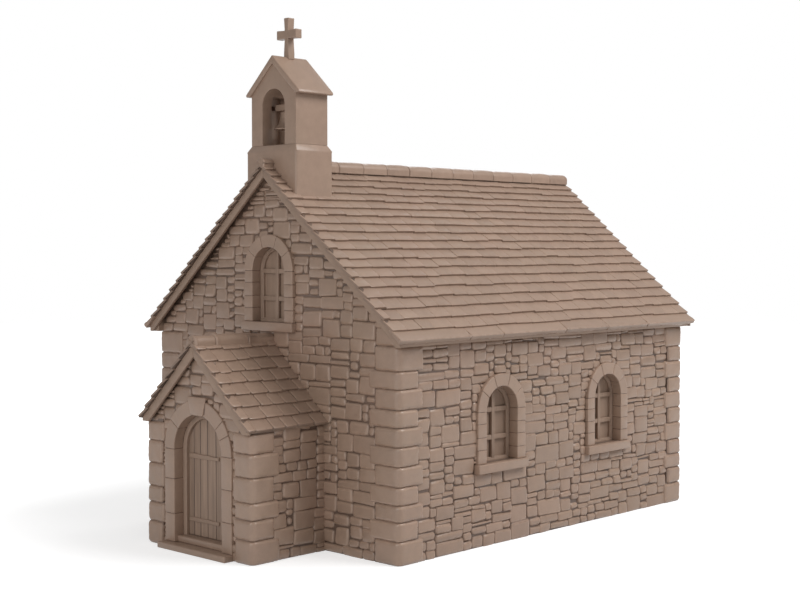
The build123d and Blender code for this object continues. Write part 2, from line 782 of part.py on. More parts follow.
# Porch roof: boards, slates, bargeboards and ridge tiles
porch_slates_y = porch_front_y - porch_verge
porch_boards_y = porch_slates_y + bargeboard_inset + bargeboard_thick
with BuildPart() as porch_boards:
    porch_edge_top = plane_z(porch_ridge, porch_pitch, slate_depth, porch_board_edge_x)
    porch_edge_low = plane_z(porch_ridge, porch_pitch, porch_deck_depth, porch_board_edge_x)
    porch_board_section = [
        (0, plane_z(porch_ridge, porch_pitch, porch_deck_depth, 0)),
        (porch_board_edge_x, porch_edge_low),
        (porch_board_edge_x, porch_edge_top),
        (0, plane_z(porch_ridge, porch_pitch, slate_depth, 0)),
        (-porch_board_edge_x, porch_edge_top),
        (-porch_board_edge_x, porch_edge_low),
    ]
    extrude(outline(facing_front(porch_boards_y), porch_board_section), amount=porch_boards_y - front_y)
porch_boards.part.label = "porch_boards"
export_step(porch_boards.part, "parts/porch_boards.step")

for side, slope_name in ((-1, "porch_slates_left"), (1, "porch_slates_right")):
    with BuildPart() as porch_slates:
        section = slate_profile(porch_ridge, porch_pitch, porch_eave_x, porch_courses, side)
        extrude(outline(facing_front(porch_slates_y), section), amount=porch_slates_y - front_y)
    porch_slates.part.label = slope_name
    export_step(porch_slates.part, f"parts/{slope_name}.step")

with BuildPart() as porch_bargeboards:
    board_face_y = porch_slates_y + bargeboard_inset
    for side in (-1, 1):
        section = verge_board(porch_ridge, porch_pitch, porch_bargeboard_depth, porch_board_edge_x,
                              porch_eaves, side)
        extrude(outline(facing_front(board_face_y), section), amount=-bargeboard_thick)
porch_bargeboards.part.label = "porch_bargeboards"
export_step(porch_bargeboards.part, "parts/porch_bargeboards.step")

porch_args = (porch_ridge, porch_pitch, porch_eave_x, porch_courses)
porch_tile_top = porch_ridge + porch_tile_rise
porch_joints_y = porch_slates_y + porch_tile_first
with BuildPart() as porch_ridge_tiles:
    tile = ridge_tile_face(facing_front(porch_slates_y), *porch_args, porch_tile_radius, porch_tile_top)
    extrude(tile, amount=porch_slates_y - front_y)
    for collar_y in (porch_slates_y, porch_joints_y, porch_joints_y + porch_tile_length):
        collar_radius = porch_tile_radius + ridge_tile_collar
        collar = ridge_tile_face(facing_front(collar_y), *porch_args, collar_radius,
                                 porch_tile_top + ridge_tile_collar)
        extrude(collar, amount=-ridge_tile_lap)
porch_ridge_tiles.part.label = "porch_ridge_tiles"
export_step(porch_ridge_tiles.part, "parts/porch_ridge_tiles.step")

# Base of the bell-cote: a block through the roof with a weathered top
with BuildPart() as bellcote_base:
    front_section = [
        (-cote_half_width, cote_foot),
        (cote_half_width, cote_foot),
        (cote_half_width, cote_shoulder),
        (shaft_half_width, cote_top),
        (-shaft_half_width, cote_top),
        (-cote_half_width, cote_shoulder),
    ]
    extrude(outline(facing_front(cote_front_y), front_section), amount=-cote_depth)
    side_section = [
        (cote_front_y, cote_foot),
        (cote_rear_y, cote_foot),
        (cote_rear_y, cote_shoulder),
        (cote_y + shaft_depth / 2, cote_top),
        (cote_y - shaft_depth / 2, cote_top),
        (cote_front_y, cote_shoulder),
    ]
    extrude(outline(facing_side(-cote_half_width), side_section), amount=2 * cote_half_width,
            mode=Mode.INTERSECT)
bellcote_base.part.label = "bellcote_base"
export_step(bellcote_base.part, "parts/bellcote_base.step")

# Shaft of the bell-cote: an arched passage with a wider chamber for the headstock
shaft_front_y = cote_y - shaft_depth / 2
with BuildPart() as bellcote_shaft:
    shaft_section = [
        (-shaft_half_width, cote_top),
        (shaft_half_width, cote_top),
        (shaft_half_width, plane_z(cap_ridge, cap_pitch, cap_thick, shaft_half_width)),
        (0, plane_z(cap_ridge, cap_pitch, cap_thick, 0)),
        (-shaft_half_width, plane_z(cap_ridge, cap_pitch, cap_thick, shaft_half_width)),
    ]
    extrude(outline(facing_front(shaft_front_y), shaft_section), amount=-shaft_depth)
    passage = round_headed(facing_front(shaft_front_y), 0, cote_arch_half, cote_top, cote_arch_spring)
    extrude(passage, amount=-shaft_depth, mode=Mode.SUBTRACT)
    chamber_y = sorted((cote_y - chamber_depth / 2, cote_y + chamber_depth / 2))
    extrude(footprint(-chamber_half, chamber_half, *chamber_y, cote_top), amount=chamber_top - cote_top,
            mode=Mode.SUBTRACT)
bellcote_shaft.part.label = "bellcote_shaft"
export_step(bellcote_shaft.part, "parts/bellcote_shaft.step")

# Gabled cap over the shaft, its eaves cut to a low fascia with a level soffit
cap_soffit = plane_z(cap_ridge, cap_pitch, 0, cap_half_width) - cap_fascia
cap_soffit_x = (plane_z(cap_ridge, cap_pitch, cap_thick, 0) - cap_soffit) / tan(radians(cap_pitch))
with BuildPart() as bellcote_cap:
    cap_section = [
        (0, cap_ridge),
        (cap_half_width, plane_z(cap_ridge, cap_pitch, 0, cap_half_width)),
        (cap_half_width, cap_soffit),
        (cap_soffit_x, cap_soffit),
        (0, plane_z(cap_ridge, cap_pitch, cap_thick, 0)),
        (-cap_soffit_x, cap_soffit),
        (-cap_half_width, cap_soffit),
        (-cap_half_width, plane_z(cap_ridge, cap_pitch, 0, cap_half_width)),
    ]
    extrude(outline(facing_front(cote_y - cap_depth / 2), cap_section), amount=-cap_depth)
bellcote_cap.part.label = "bellcote_cap"
export_step(bellcote_cap.part, "parts/bellcote_cap.step")

# Stone cross astride the cap's ridge, with flared ends
with BuildPart() as cross:
    post_foot = plane_z(cap_ridge, cap_pitch, 0, cross_post_flare)
    post_section = [
        (0, cap_ridge),
        (cross_post_flare, post_foot),
        (cross_post_half, cross_arm_low),
        (cross_post_half, cross_arm_high),
        (cross_post_flare, cross_top),
        (-cross_post_flare, cross_top),
        (-cross_post_half, cross_arm_high),
        (-cross_post_half, cross_arm_low),
        (-cross_post_flare, post_foot),
    ]
    extrude(outline(facing_front(cote_y - cross_thick / 2), post_section), amount=-cross_thick)
    arm_section = [
        (-cross_arm_half, cross_arm_low - cross_arm_flare),
        (0, cross_arm_low + cross_arm_flare),
        (cross_arm_half, cross_arm_low - cross_arm_flare),
        (cross_arm_half, cross_arm_high + cross_arm_flare),
        (0, cross_arm_high - cross_arm_flare),
        (-cross_arm_half, cross_arm_high + cross_arm_flare),
    ]
    extrude(outline(facing_front(cote_y - cross_thick / 2), arm_section), amount=-cross_thick)
cross.part.label = "cross"
export_step(cross.part, "parts/cross.step")

# Bearing blocks of the headstock on the side walls of the chamber
bearing_inner_x = chamber_half - bearing_thick
with BuildPart() as bell_bearings:
    for side in (-1, 1):
        block_x = sorted((side * bearing_inner_x, side * chamber_half))
        block_low = headstock_axis_z - bearing_block / 2
        extrude(footprint(*block_x, cote_y - bearing_block / 2, cote_y + bearing_block / 2, block_low),
                amount=bearing_block)
    with BuildSketch(facing_side(-chamber_half)) as bearing_hole:
        with Locations((cote_y, headstock_axis_z)):
            Circle(gudgeon_radius + pin_clear)
    extrude(bearing_hole.sketch, amount=2 * chamber_half, mode=Mode.SUBTRACT)
bell_bearings.part.label = "bell_bearings"
export_step(bell_bearings.part, "parts/bell_bearings.step")

# Timber headstock with its gudgeons
with BuildPart() as bell_headstock:
    stock_low = headstock_axis_z - headstock_height / 2
    extrude(footprint(-headstock_half, headstock_half, cote_y - headstock_depth / 2,
                      cote_y + headstock_depth / 2, stock_low), amount=headstock_height)
    gudgeon_half = chamber_half - door_stop_gap
    with BuildSketch(facing_side(-gudgeon_half)) as gudgeon:
        with Locations((cote_y, headstock_axis_z)):
            Circle(gudgeon_radius)
    extrude(gudgeon.sketch, amount=2 * gudgeon_half)
bell_headstock.part.label = "bell_headstock"
export_step(bell_headstock.part, "parts/bell_headstock.step")

def bell_form(profile):
    """Solid through many-sided rings about the bell's axis, one for each radius and height of the profile."""
    rings = []
    for radius, height in profile:
        with BuildSketch(Plane(origin=(0, cote_y, height))) as ring:
            RegularPolygon(radius, bell_side_count)
        rings.append(ring.sketch.face())
    return loft(rings, ruled=True, mode=Mode.PRIVATE)


# Bell: one wall of many flats that flares in runs to its lip, closed at the crown by a round boss
bell_top = stock_low - bell_crown_gap
bell_lip_top_z = bell_lip_z + bell_lip_depth
bell_shoulder_z = bell_top - bell_shoulder_bevel
waist_fall = bell_shoulder_z - bell_lip_top_z
flare_points = []
for run in range(bell_run_count + 1):
    fall = run / bell_run_count
    flare_radius = bell_shoulder_radius + (bell_lip_radius - bell_shoulder_radius) * fall**bell_flare_power
    flare_points.append((flare_radius, bell_shoulder_z - waist_fall * fall))
outer_profile = [(bell_shoulder_radius - bell_shoulder_bevel, bell_top), *flare_points, (bell_lip_radius, bell_lip_z)]
inner_profile = [(bell_shoulder_radius - bell_wall, bell_top - bell_wall)]
inner_profile += [(radius - bell_wall, height) for radius, height in flare_points[1:]]
inner_profile.append((bell_lip_radius - bell_wall, bell_lip_z))
with BuildPart() as bell:
    add(bell_form(outer_profile))
    add(bell_form(inner_profile), mode=Mode.SUBTRACT)
    with BuildSketch(Plane(origin=(0, cote_y, bell_top))):
        Circle(2 * bell_wall)
    extrude(amount=bell_crown_gap)
bell.part.label = "bell"
export_step(bell.part, "parts/bell.step")

# Clapper hanging in the bell from its crown, its bob turned with a tapered neck
with BuildPart() as clapper:
    rod_top = bell_top - bell_wall
    ball_low = bell_lip_z
    with BuildSketch(Plane(origin=(0, cote_y, 0), x_dir=(1, 0, 0), z_dir=(0, -1, 0))):
        with BuildLine():
            Polyline(
                (0, ball_low),
                (clapper_ball_radius, ball_low),
                (clapper_ball_radius, ball_low + clapper_ball_radius),
                (clapper_rod_radius, ball_low + 2 * clapper_ball_radius),
                (clapper_rod_radius, rod_top),
                (0, rod_top),
                close=True,
            )
        make_face()
    revolve(axis=Axis((0, cote_y, 0), (0, 0, 1)))
clapper.part.label = "clapper"
export_step(clapper.part, "parts/clapper.step")
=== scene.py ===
"""Looks of the small stone chapel: every stone, slate, plank and bar, laid over the packed solids.

Metres, +Z up, in the frame of the solids. The nave runs along Y with its entrance at -Y, and X = 0 is
the plane of symmetry. Surfaces are worked out as whole arrays: a stone of a wall is a height field with
a rounded outline, a dressed stone is a rounded box, and frames, tiles and the bell are profiles carried
along a path. Two values go with every point: tone, one random number a stone, and edge, which grows
from 0 on a face to 1 at its outline.
"""

import logging
from collections.abc import Callable
from dataclasses import dataclass, field
from enum import Enum
from math import cos, pi, radians, sin, tan

import bmesh
import bpy
import numpy as np
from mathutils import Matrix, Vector
from numpy.typing import ArrayLike


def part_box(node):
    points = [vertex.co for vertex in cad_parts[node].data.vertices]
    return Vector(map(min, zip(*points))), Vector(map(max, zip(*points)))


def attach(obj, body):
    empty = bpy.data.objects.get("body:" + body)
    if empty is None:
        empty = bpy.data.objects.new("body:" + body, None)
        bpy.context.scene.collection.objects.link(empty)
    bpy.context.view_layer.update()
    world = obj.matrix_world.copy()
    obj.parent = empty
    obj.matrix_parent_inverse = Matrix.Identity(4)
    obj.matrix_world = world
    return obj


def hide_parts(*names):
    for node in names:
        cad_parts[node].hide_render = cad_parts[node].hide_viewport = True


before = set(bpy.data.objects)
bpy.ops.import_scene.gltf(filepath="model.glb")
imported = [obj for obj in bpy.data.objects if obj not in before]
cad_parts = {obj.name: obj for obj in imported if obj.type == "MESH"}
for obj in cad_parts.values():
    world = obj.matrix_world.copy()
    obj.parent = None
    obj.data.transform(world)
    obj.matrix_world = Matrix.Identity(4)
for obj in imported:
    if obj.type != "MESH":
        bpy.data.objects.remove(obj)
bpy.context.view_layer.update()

UP = (0.0, 0.0, 1.0)
SAME_POINT = 1e-5
FLAT_ARRIS = radians(1.0)
SHARP_ARRIS = radians(25.0)
UPRIGHT_SHARE = 0.99
ROUNDING_SEGMENTS = 3
FINE_KNOTS = 17
ARCH_STATIONS = 33
TINY = 1e-9
LOG = logging.getLogger("chapel")

Array = np.ndarray
Socket = bpy.types.NodeSocket
Mask = Callable[[Array, Array], Array]
Shape = Callable[[Array], Array]


class Body(Enum):
    """Bodies of the packed model."""

    WALLS = "walls"
    DOOR = "door"
    BELL = "bell"


class Slot(Enum):
    """Material slots named for the new pieces; nothing here reads them."""

    RUBBLE = "rubble_stone"
    DRESSED = "dressed_stone"
    SLATE = "stone_slate"
    TIMBER = "roof_timber"
    JOINERY = "joinery"
    BELL_METAL = "bell_metal"


def low(node: str) -> Vector:
    """Lowest corner of a packed node."""
    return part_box(node)[0]


def high(node: str) -> Vector:
    """Highest corner of a packed node."""
    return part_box(node)[1]


def placed(name: str, data: bpy.types.ID) -> bpy.types.Object:
    """New object of this data, linked to the scene."""
    piece = bpy.data.objects.new(name, data)
    bpy.context.scene.collection.objects.link(piece)
    return piece


@dataclass(frozen=True)
class Face:
    """Plane that stones are laid on.

    Attributes:
        origin: A point of the plane.
        along: Unit vector of the first coordinate, level on a wall.
        up: Unit vector of the second coordinate.
    """

    origin: tuple[float, float, float]
    along: tuple[float, float, float]
    up: tuple[float, float, float] = UP

    def place(self, across: Array, rise: Array, out: Array) -> Array:
        """Points of the face: origin + across * along + rise * up + out * (along x up).

        Args:
            across: First coordinates.
            rise: Second coordinates.
            out: Heights over the face.

        Returns:
            The points, with X, Y and Z along the last axis.
        """
        normal = np.cross(self.along, self.up)
        axes = np.stack([np.asarray(self.along), np.asarray(self.up), normal])
        local = np.stack(np.broadcast_arrays(across, rise, out), axis=-1)
        return local @ axes + np.asarray(self.origin)


@dataclass
class Shell:
    """Closed surface as arrays.

    Attributes:
        points: Points, one row each.
        quads: Four point numbers a face, counter-clockwise from outside.
        tone: One value a point, the same all over one stone.
        edge: One value a point, 0 on a face and 1 at its outline.
    """

    points: Array
    quads: Array
    tone: Array
    edge: Array

    @classmethod
    def of_copies(cls, points: Array, quads: Array, tone: Array, edge: Array) -> "Shell":
        """Many copies of one template, with the faces numbered on from copy to copy.

        Args:
            points: Array of copies x template points x 3.
            quads: Faces of the template.
            tone: One value a copy.
            edge: One value a point of each copy.

        Returns:
            One shell of all copies.
        """
        copies, size = points.shape[:2]
        all_quads = (quads[None] + (np.arange(copies) * size)[:, None, None]).reshape(-1, 4)
        all_edges = np.broadcast_to(edge, (copies, size)).ravel()
        return cls(points.reshape(-1, 3), all_quads, np.repeat(tone, size), all_edges)

    @classmethod
    def joined(cls, shells: list["Shell"]) -> "Shell":
        """One shell of several."""
        starts = np.cumsum([0] + [len(shell.points) for shell in shells[:-1]])
        return cls(
            np.concatenate([shell.points for shell in shells]),
            np.concatenate([shell.quads + start for shell, start in zip(shells, starts)]),
            np.concatenate([shell.tone for shell in shells]),
            np.concatenate([shell.edge for shell in shells]),
        )

    def on_ground(self) -> "Shell":
        """The same shell with its points raised to the ground where they lie under it."""
        self.points[:, 2] = np.maximum(self.points[:, 2], 0.0)
        return self

    def piece(self, name: str, smooth_angle: float = 40.0) -> bpy.types.Object:
        """Puts the arrays into a mesh object at the origin.

        Args:
            name: Name of the piece.
            smooth_angle: Faces that meet at less than this many degrees are shaded as one.

        Returns:
            The new object, linked to the scene.
        """
        mesh = bpy.data.meshes.new(name)
        mesh.vertices.add(len(self.points))
        mesh.vertices.foreach_set("co", self.points.astype(np.float32).ravel())
        mesh.loops.add(self.quads.size)
        mesh.loops.foreach_set("vertex_index", self.quads.astype(np.int32).ravel())
        mesh.polygons.add(len(self.quads))
        mesh.polygons.foreach_set("loop_start", np.arange(0, self.quads.size, 4, dtype=np.int32))
        mesh.update(calc_edges=True)
        for attribute, values in (("tone", self.tone), ("edge", self.edge)):
            layer = mesh.attributes.new(attribute, "FLOAT", "POINT")
            layer.data.foreach_set("value", values.astype(np.float32))
        mesh.shade_smooth()
        mesh.set_sharp_from_angle(angle=radians(smooth_angle))
        mesh.validate()
        return placed(name, mesh)


def grid_quads(rows: int, columns: int, wrap_rows: bool = False, wrap_columns: bool = False) -> Array:
    """Faces of a grid of points numbered row by row.

    Args:
        rows: Number of rows.
        columns: Number of points a row.
        wrap_rows: Whether the last row joins the first.
        wrap_columns: Whether a row's last point joins its first.

    Returns:
        Four point numbers a face.
    """
    row = np.arange(rows if wrap_rows else rows - 1)
    column = np.arange(columns if wrap_columns else columns - 1)
    first, second = np.meshgrid(row, column, indexing="ij")
    next_row, next_column = (first + 1) % rows, (second + 1) % columns
    near, far = first * columns, next_row * columns
    corners = [near + second, far + second, far + next_column, near + next_column]
    return np.stack(corners, axis=-1).reshape(-1, 4)


def ripple(first: Array, second: Array, seed: float) -> Array:
    """Smooth uneven field between about -1 and 1: three crossing sine waves of unlike lengths."""
    return (
        0.5 * np.sin(3.1 * first + 1.7 * second + seed)
        + 0.3 * np.sin(-5.3 * first + 6.1 * second + 2.3 * seed)
        + 0.2 * np.sin(11.7 * first + 8.9 * second + 4.1 * seed)
    )


@dataclass
class FieldStones:
    """Rounded stones on a face, each a height field with a skirt round it.

    One knot list serves both directions: a knot is a share of the half size plus a share of the corner
    radius, so the knots keep to the rounding whatever the stone's size. Outside the core rectangle the
    offset q of a knot is shrunk until its length is its larger side m, which makes the outline's corners
    round. The height there is full - e + sqrt(e^2 - (e m / r)^2), a quarter round of radius e. From the
    outline a flange falls outwards, so that neighbours meet in a shallow groove, and then the sides drop.

    Attributes:
        face: Plane that the stones lie on.
        seed: Seed of the stones' unevenness.
        uneven: How far a face swells and hollows.
        skew: How far a corner wanders from the true rectangle.
        flange: How far the flange reaches outwards and how far it falls.
    """

    face: Face
    seed: int
    uneven: float = 0.004
    skew: float = 0.01
    flange: tuple[float, float] = (0.0, 0.001)

    ROUNDEST = 0.9
    SWELL_RATE = 4
    SIZE_SHARES = (-1.0, -1.0, -1.0, 0.0, 1.0, 1.0, 1.0)
    RADIUS_SHARES = (0.0, 0.35, 1.0, 0.0, -1.0, -0.35, 0.0)

    def template(self) -> tuple[Array, Array]:
        """Point numbers of one stone.

        Returns:
            The ring of its outline, and its faces with flange and sides.
        """
        count = len(self.SIZE_SHARES)
        number = np.arange(count * count).reshape(count, count)
        ring = np.concatenate([number[:-1, 0], number[-1, :-1], number[:0:-1, -1], number[0, :0:-1]])
        flange = count * count + np.arange(len(ring))
        foot = flange + len(ring)
        sides = [
            np.stack([top, base, np.roll(base, -1), np.roll(top, -1)], axis=-1)
            for top, base in ((ring, flange), (flange, foot))
        ]
        return ring, np.concatenate([grid_quads(count, count), *sides])

    def lay(
        self, centre: Array, half: Array, radius: Array, edge_radius: Array,
        low_height: Array, high_height: Array, skirt: Array,
    ) -> Shell:
        """Lays one stone for each row of the arrays.

        Args:
            centre: Middle of each stone on the face.
            half: Half sizes along and up.
            radius: Radius of the outline's corners.
            edge_radius: Radius of the rounding between the face and the sides.
            low_height: Height of the stone's face at its lower edge.
            high_height: Height at its upper edge.
            skirt: How far the sides run down from the outline.

        Returns:
            One shell of all stones.
        """
        draw = np.random.default_rng(self.seed)
        size_share, radius_share = np.array(self.SIZE_SHARES), np.array(self.RADIUS_SHARES)
        radius = np.minimum(radius, self.ROUNDEST * half.min(axis=1))
        knots = size_share[:, None, None] * half + radius_share[:, None, None] * radius[:, None]
        count = len(size_share)
        shape = (len(half), count, count)
        flat_u = np.broadcast_to(knots[:, None, :, 0].transpose(2, 0, 1), shape)
        flat_v = np.broadcast_to(knots[None, :, :, 1].transpose(2, 0, 1), shape)
        core = (half - radius[:, None])[:, None, None, :]
        flat = np.stack([flat_u, flat_v], axis=-1)
        over = np.maximum(np.abs(flat) - core, 0.0)
        larger = over.max(axis=-1)
        length = np.maximum(np.hypot(over[..., 0], over[..., 1]), TINY)
        shrink = np.where(larger > 0, larger / length, 1.0)[..., None]
        spot = np.sign(flat) * (np.minimum(np.abs(flat), core) + over * shrink)
        share = spot / half[:, None, None, :]
        corner = draw.uniform(-self.skew, self.skew, (len(half), 4, 2))
        signs = ((-1, -1), (1, -1), (1, 1), (-1, 1))
        weights = [(1 + right * share[..., 0]) * (1 + upper * share[..., 1]) / 4 for right, upper in signs]
        wander = sum(
            weight[..., None] * corner[:, None, None, index] for index, weight in enumerate(weights)
        )
        spot = spot + wander + centre[:, None, None, :]
        rim = larger / radius[:, None, None]
        bend = edge_radius[:, None, None]
        climb = (1 + share[..., 1]) / 2
        height = low_height[:, None, None] * (1 - climb) + high_height[:, None, None] * climb
        along, up = self.SWELL_RATE * spot[..., 0], self.SWELL_RATE * spot[..., 1]
        swell = self.uneven * ripple(along + centre[:, None, None, 1], up, self.seed)
        height = height + swell * (1 - rim) - bend + np.sqrt(np.maximum(bend**2 * (1 - rim**2), 0.0))
        ring, quads = self.template()
        flat_spot = spot.reshape(len(half), -1, 2)
        flat_height = height.reshape(len(half), -1)
        outward = (np.sign(flat) * over / length[..., None]).reshape(len(half), -1, 2)[:, ring]
        reach, fall = self.flange
        rim_spot = flat_spot[:, ring] + reach * outward
        rim_height = flat_height[:, ring] - fall
        spots = np.concatenate([flat_spot, rim_spot, rim_spot], axis=1)
        heights = np.concatenate([flat_height, rim_height, rim_height - skirt[:, None]], axis=1)
        edges = np.concatenate([rim.reshape(len(half), -1), np.ones((len(half), 2 * len(ring)))], axis=1)
        points = self.face.place(spots[..., 0], spots[..., 1], heights)
        return Shell.of_copies(points, quads, draw.uniform(-1, 1, len(half)), edges)


@dataclass(frozen=True)
class StoneMix:
    """Sizes of the stones of one kind of rubble, in packing cells, with their odds.

    Attributes:
        widths: Widths that occur.
        width_odds: How often each does.
        heights: Heights that occur.
        height_odds: How often each does.
        coursing: How often a stone keeps the height of the one before it.
        gap: Width of the widest open joints on each side of a stone.
    """

    widths: tuple[int, ...]
    width_odds: tuple[float, ...]
    heights: tuple[int, ...]
    height_odds: tuple[float, ...]
    coursing: float
    gap: float


SIDE_MIX = StoneMix(
    widths=(3, 4, 5, 6, 7, 9), width_odds=(0.15, 0.23, 0.23, 0.18, 0.13, 0.08),
    heights=(1, 2, 3, 4), height_odds=(0.08, 0.43, 0.32, 0.17), coursing=0.45, gap=0.017,
)
GABLE_MIX = StoneMix(
    widths=(3, 4, 5, 6, 7), width_odds=(0.12, 0.25, 0.29, 0.22, 0.12),
    heights=(1, 2, 3, 4), height_odds=(0.05, 0.42, 0.3, 0.23), coursing=0.5, gap=0.025,
)


@dataclass
class RubbleWall:
    """Random rubble on one wall face, packed on a grid of small cells and then bent out of true.

    Attributes:
        face: The wall's face.
        across: Lowest and highest coordinate along the wall.
        rise: Lowest and highest height.
        free: Says which cell centres may hold stone.
        seed: Seed of the packing.
        mix: Sizes of its stones.
        cell: Size of a packing cell.
    """

    face: Face
    across: tuple[float, float]
    rise: tuple[float, float]
    free: Mask
    seed: int
    mix: StoneMix
    cell: float = 0.071

    LONGEST_RUN = 11
    SQUATNESS = 0.8
    LEAST_INSIDE = 0.7
    TIGHT_JOINT = 0.001
    JOINT_POWERS = (6.0, 3.5)
    SWAY = 0.014
    SHIFT = 0.003
    PROUD = 0.04
    PROUD_LOSS = 0.015
    LEAN = (-0.009, 0.005)
    RADII = (0.028, 0.058)
    EDGE_RADIUS = 0.012
    EDGE_SPREAD = 0.02
    EDGE_POWER = 1.3

    def pack(self) -> Array:
        """Fills the free cells with whole-cell rectangles, row by row from the foot of the wall.

        A stone starts on free cells, and its upper rows may lie to a small share outside the limits,
        which keeps slivers away from a slope or an arch that hides the rest.

        Returns:
            One row a stone: column, row, width and height in cells.
        """
        draw = np.random.default_rng(self.seed)
        columns = int(round((self.across[1] - self.across[0]) / self.cell))
        rows = int(round((self.rise[1] - self.rise[0]) / self.cell))
        middle_u = self.across[0] + (np.arange(columns) + 0.5) * self.cell
        middle_v = self.rise[0] + (np.arange(rows) + 0.5) * self.cell
        free = self.free(*np.meshgrid(middle_u, middle_v))
        inside, taken = free.copy(), np.zeros_like(free)
        stones = []
        want = 2
        for row in range(rows):
            for column in np.flatnonzero(free[row]):
                if not free[row, column]:
                    continue
                ahead = free[row, column:column + self.LONGEST_RUN]
                run = len(ahead) if ahead.all() else int(np.argmin(ahead))
                width = min(int(draw.choice(self.mix.widths, p=self.mix.width_odds)), run)
                width += run - width == 1
                if draw.uniform() > self.mix.coursing:
                    want = int(draw.choice(self.mix.heights, p=self.mix.height_odds))
                height = 1
                while (
                    height < min(want, round(self.SQUATNESS * width))
                    and row + height < rows
                    and not taken[row + height, column:column + width].any()
                    and inside[row + height, column:column + width].mean() >= self.LEAST_INSIDE
                ):
                    height += 1
                free[row:row + height, column:column + width] = False
                taken[row:row + height, column:column + width] = True
                stones.append((column, row, width, height))
        return np.array(stones, dtype=float)

    def shell(self) -> Shell:
        """Stones of the wall: packed, pulled apart by the joints and swayed by a slow ripple.

        A joint is tight at most stones and opens with a high power of a random number at a few. How far
        a stone stands out falls with the square of one, and its edge grows rounder with a power too.

        Returns:
            One shell of all stones.
        """
        stones = self.pack()
        draw = np.random.default_rng(self.seed + 1)
        count = len(stones)
        origin = np.array([self.across[0], self.rise[0]])
        centre = origin + (stones[:, :2] + stones[:, 2:] / 2) * self.cell
        joint = self.TIGHT_JOINT + self.mix.gap * draw.uniform(0, 1, (count, 2)) ** self.JOINT_POWERS
        half = stones[:, 2:] * self.cell / 2 - joint
        across, rise = centre.T
        sway = np.stack([ripple(rise, across, self.seed), ripple(across, rise, 3.0)], axis=1)
        centre = centre + self.SWAY * sway + draw.uniform(-self.SHIFT, self.SHIFT, (count, 2))
        height = self.PROUD - self.PROUD_LOSS * draw.uniform(0, 1, count) ** 2.0
        lean = draw.uniform(*self.LEAN, count)
        bed = FieldStones(self.face, self.seed, uneven=0.007, skew=0.014, flange=(0.008, 0.013))
        return bed.lay(
            centre, half,
            radius=draw.uniform(*self.RADII, count),
            edge_radius=self.EDGE_RADIUS + self.EDGE_SPREAD * draw.uniform(0, 1, count) ** self.EDGE_POWER,
            low_height=height - lean, high_height=height + lean, skirt=height,
        )


@dataclass
class Blocks:
    """Dressed stones, planks and bars as rounded boxes on one lattice.

    A lattice knot is a share of the half size plus a share of the arris radius. Beyond the core box the
    offset q of a knot is shrunk until its length is its largest side, which turns the flat corner into a
    ball and each arris into a quarter round.

    Attributes:
        seed: Seed of the tones and of the uneven faces.
        uneven: How far the faces swell and hollow.
        knots: Knots a direction, odd, with the rounding's three at each end.
        bulge: How far the middle of a face stands out, falling with 1 - s^4 to its edges, where s is the
            larger share of the half size along the face.
    """

    seed: int
    uneven: float = 0.0015
    knots: int = 7
    bulge: float = 0.0

    ROUNDEST = 0.95
    END_SHARE = 0.35
    SWELL_RATES = (9, 7, 9)

    def lattice(self) -> tuple[Array, Array]:
        """Skin of a box of knots.

        Returns:
            The knots' numbers in three directions, and the faces.
        """
        count = self.knots
        grid = np.stack(np.meshgrid(*[np.arange(count)] * 3, indexing="ij"), axis=-1)
        skin = ((grid == 0) | (grid == count - 1)).any(axis=-1)
        number = np.full((count,) * 3, -1)
        number[skin] = np.arange(skin.sum())
        quads = []
        for axis in range(3):
            for end in (0, count - 1):
                sheet = np.take(number, end, axis=axis)
                corners = [sheet[:-1, :-1], sheet[1:, :-1], sheet[1:, 1:], sheet[:-1, 1:]]
                faces = np.stack(corners, axis=-1).reshape(-1, 4)
                quads.append(faces[:, ::-1] if (end == 0) != (axis == 1) else faces)
        return grid[skin], np.concatenate(quads)

    def shares(self) -> tuple[Array, Array]:
        """Shares that place every knot, closer together near the ends.

        Returns:
            Its share of the half size and its share of the radius.
        """
        inner = np.sin(pi / 2 * np.linspace(-1, 1, self.knots - 4))
        size = np.concatenate([[-1, -1], inner, [1, 1]])
        radius = np.concatenate([[0, self.END_SHARE], -inner, [-self.END_SHARE, 0]])
        return size, radius

    def lay(self, centre: ArrayLike, half: ArrayLike, radius: ArrayLike, shape: Shape) -> Shell:
        """Lays one block for each row of centre and half.

        Args:
            centre: Middle of each block in its own coordinates.
            half: Half sizes of each block.
            radius: Radius of the arrises.
            shape: Carries points in those coordinates to their place in the chapel.

        Returns:
            One shell of all blocks.
        """
        draw = np.random.default_rng(self.seed)
        centre, half = np.atleast_2d(centre), np.atleast_2d(half)
        radius = np.minimum(np.broadcast_to(radius, len(half)), self.ROUNDEST * half.min(axis=1))
        index, quads = self.lattice()
        size_share, radius_share = self.shares()
        knot = size_share[index] * half[:, None] + radius_share[index] * radius[:, None, None]
        core = (half - radius[:, None])[:, None]
        over = np.maximum(np.abs(knot) - core, 0.0)
        largest = over.max(axis=-1, keepdims=True)
        length = np.maximum(np.linalg.norm(over, axis=-1, keepdims=True), TINY)
        shrink = np.where(largest > 0, largest / length, 1.0)
        local = np.sign(knot) * (np.minimum(np.abs(knot), core) + over * shrink)
        phase = draw.uniform(0, 6, (len(half), 1))
        first, second, third = (rate * local[..., axis] for axis, rate in enumerate(self.SWELL_RATES))
        swell = self.uneven * ripple(first + phase, third - second, 1.0)
        edge = np.sort(over, axis=-1)[..., 1] / radius[:, None]
        share = np.clip(np.abs(local) / half[:, None], 0.0, 1.0)
        others = ([1, 2], [0, 2], [0, 1])
        along = np.stack([share[..., pair].max(axis=-1) for pair in others], axis=-1)
        local = local + np.sign(local) * share * (self.bulge * (1 - along**4) + swell[..., None])
        points = shape(local + centre[:, None])
        return Shell.of_copies(points, quads, draw.uniform(-1, 1, len(half)), edge)


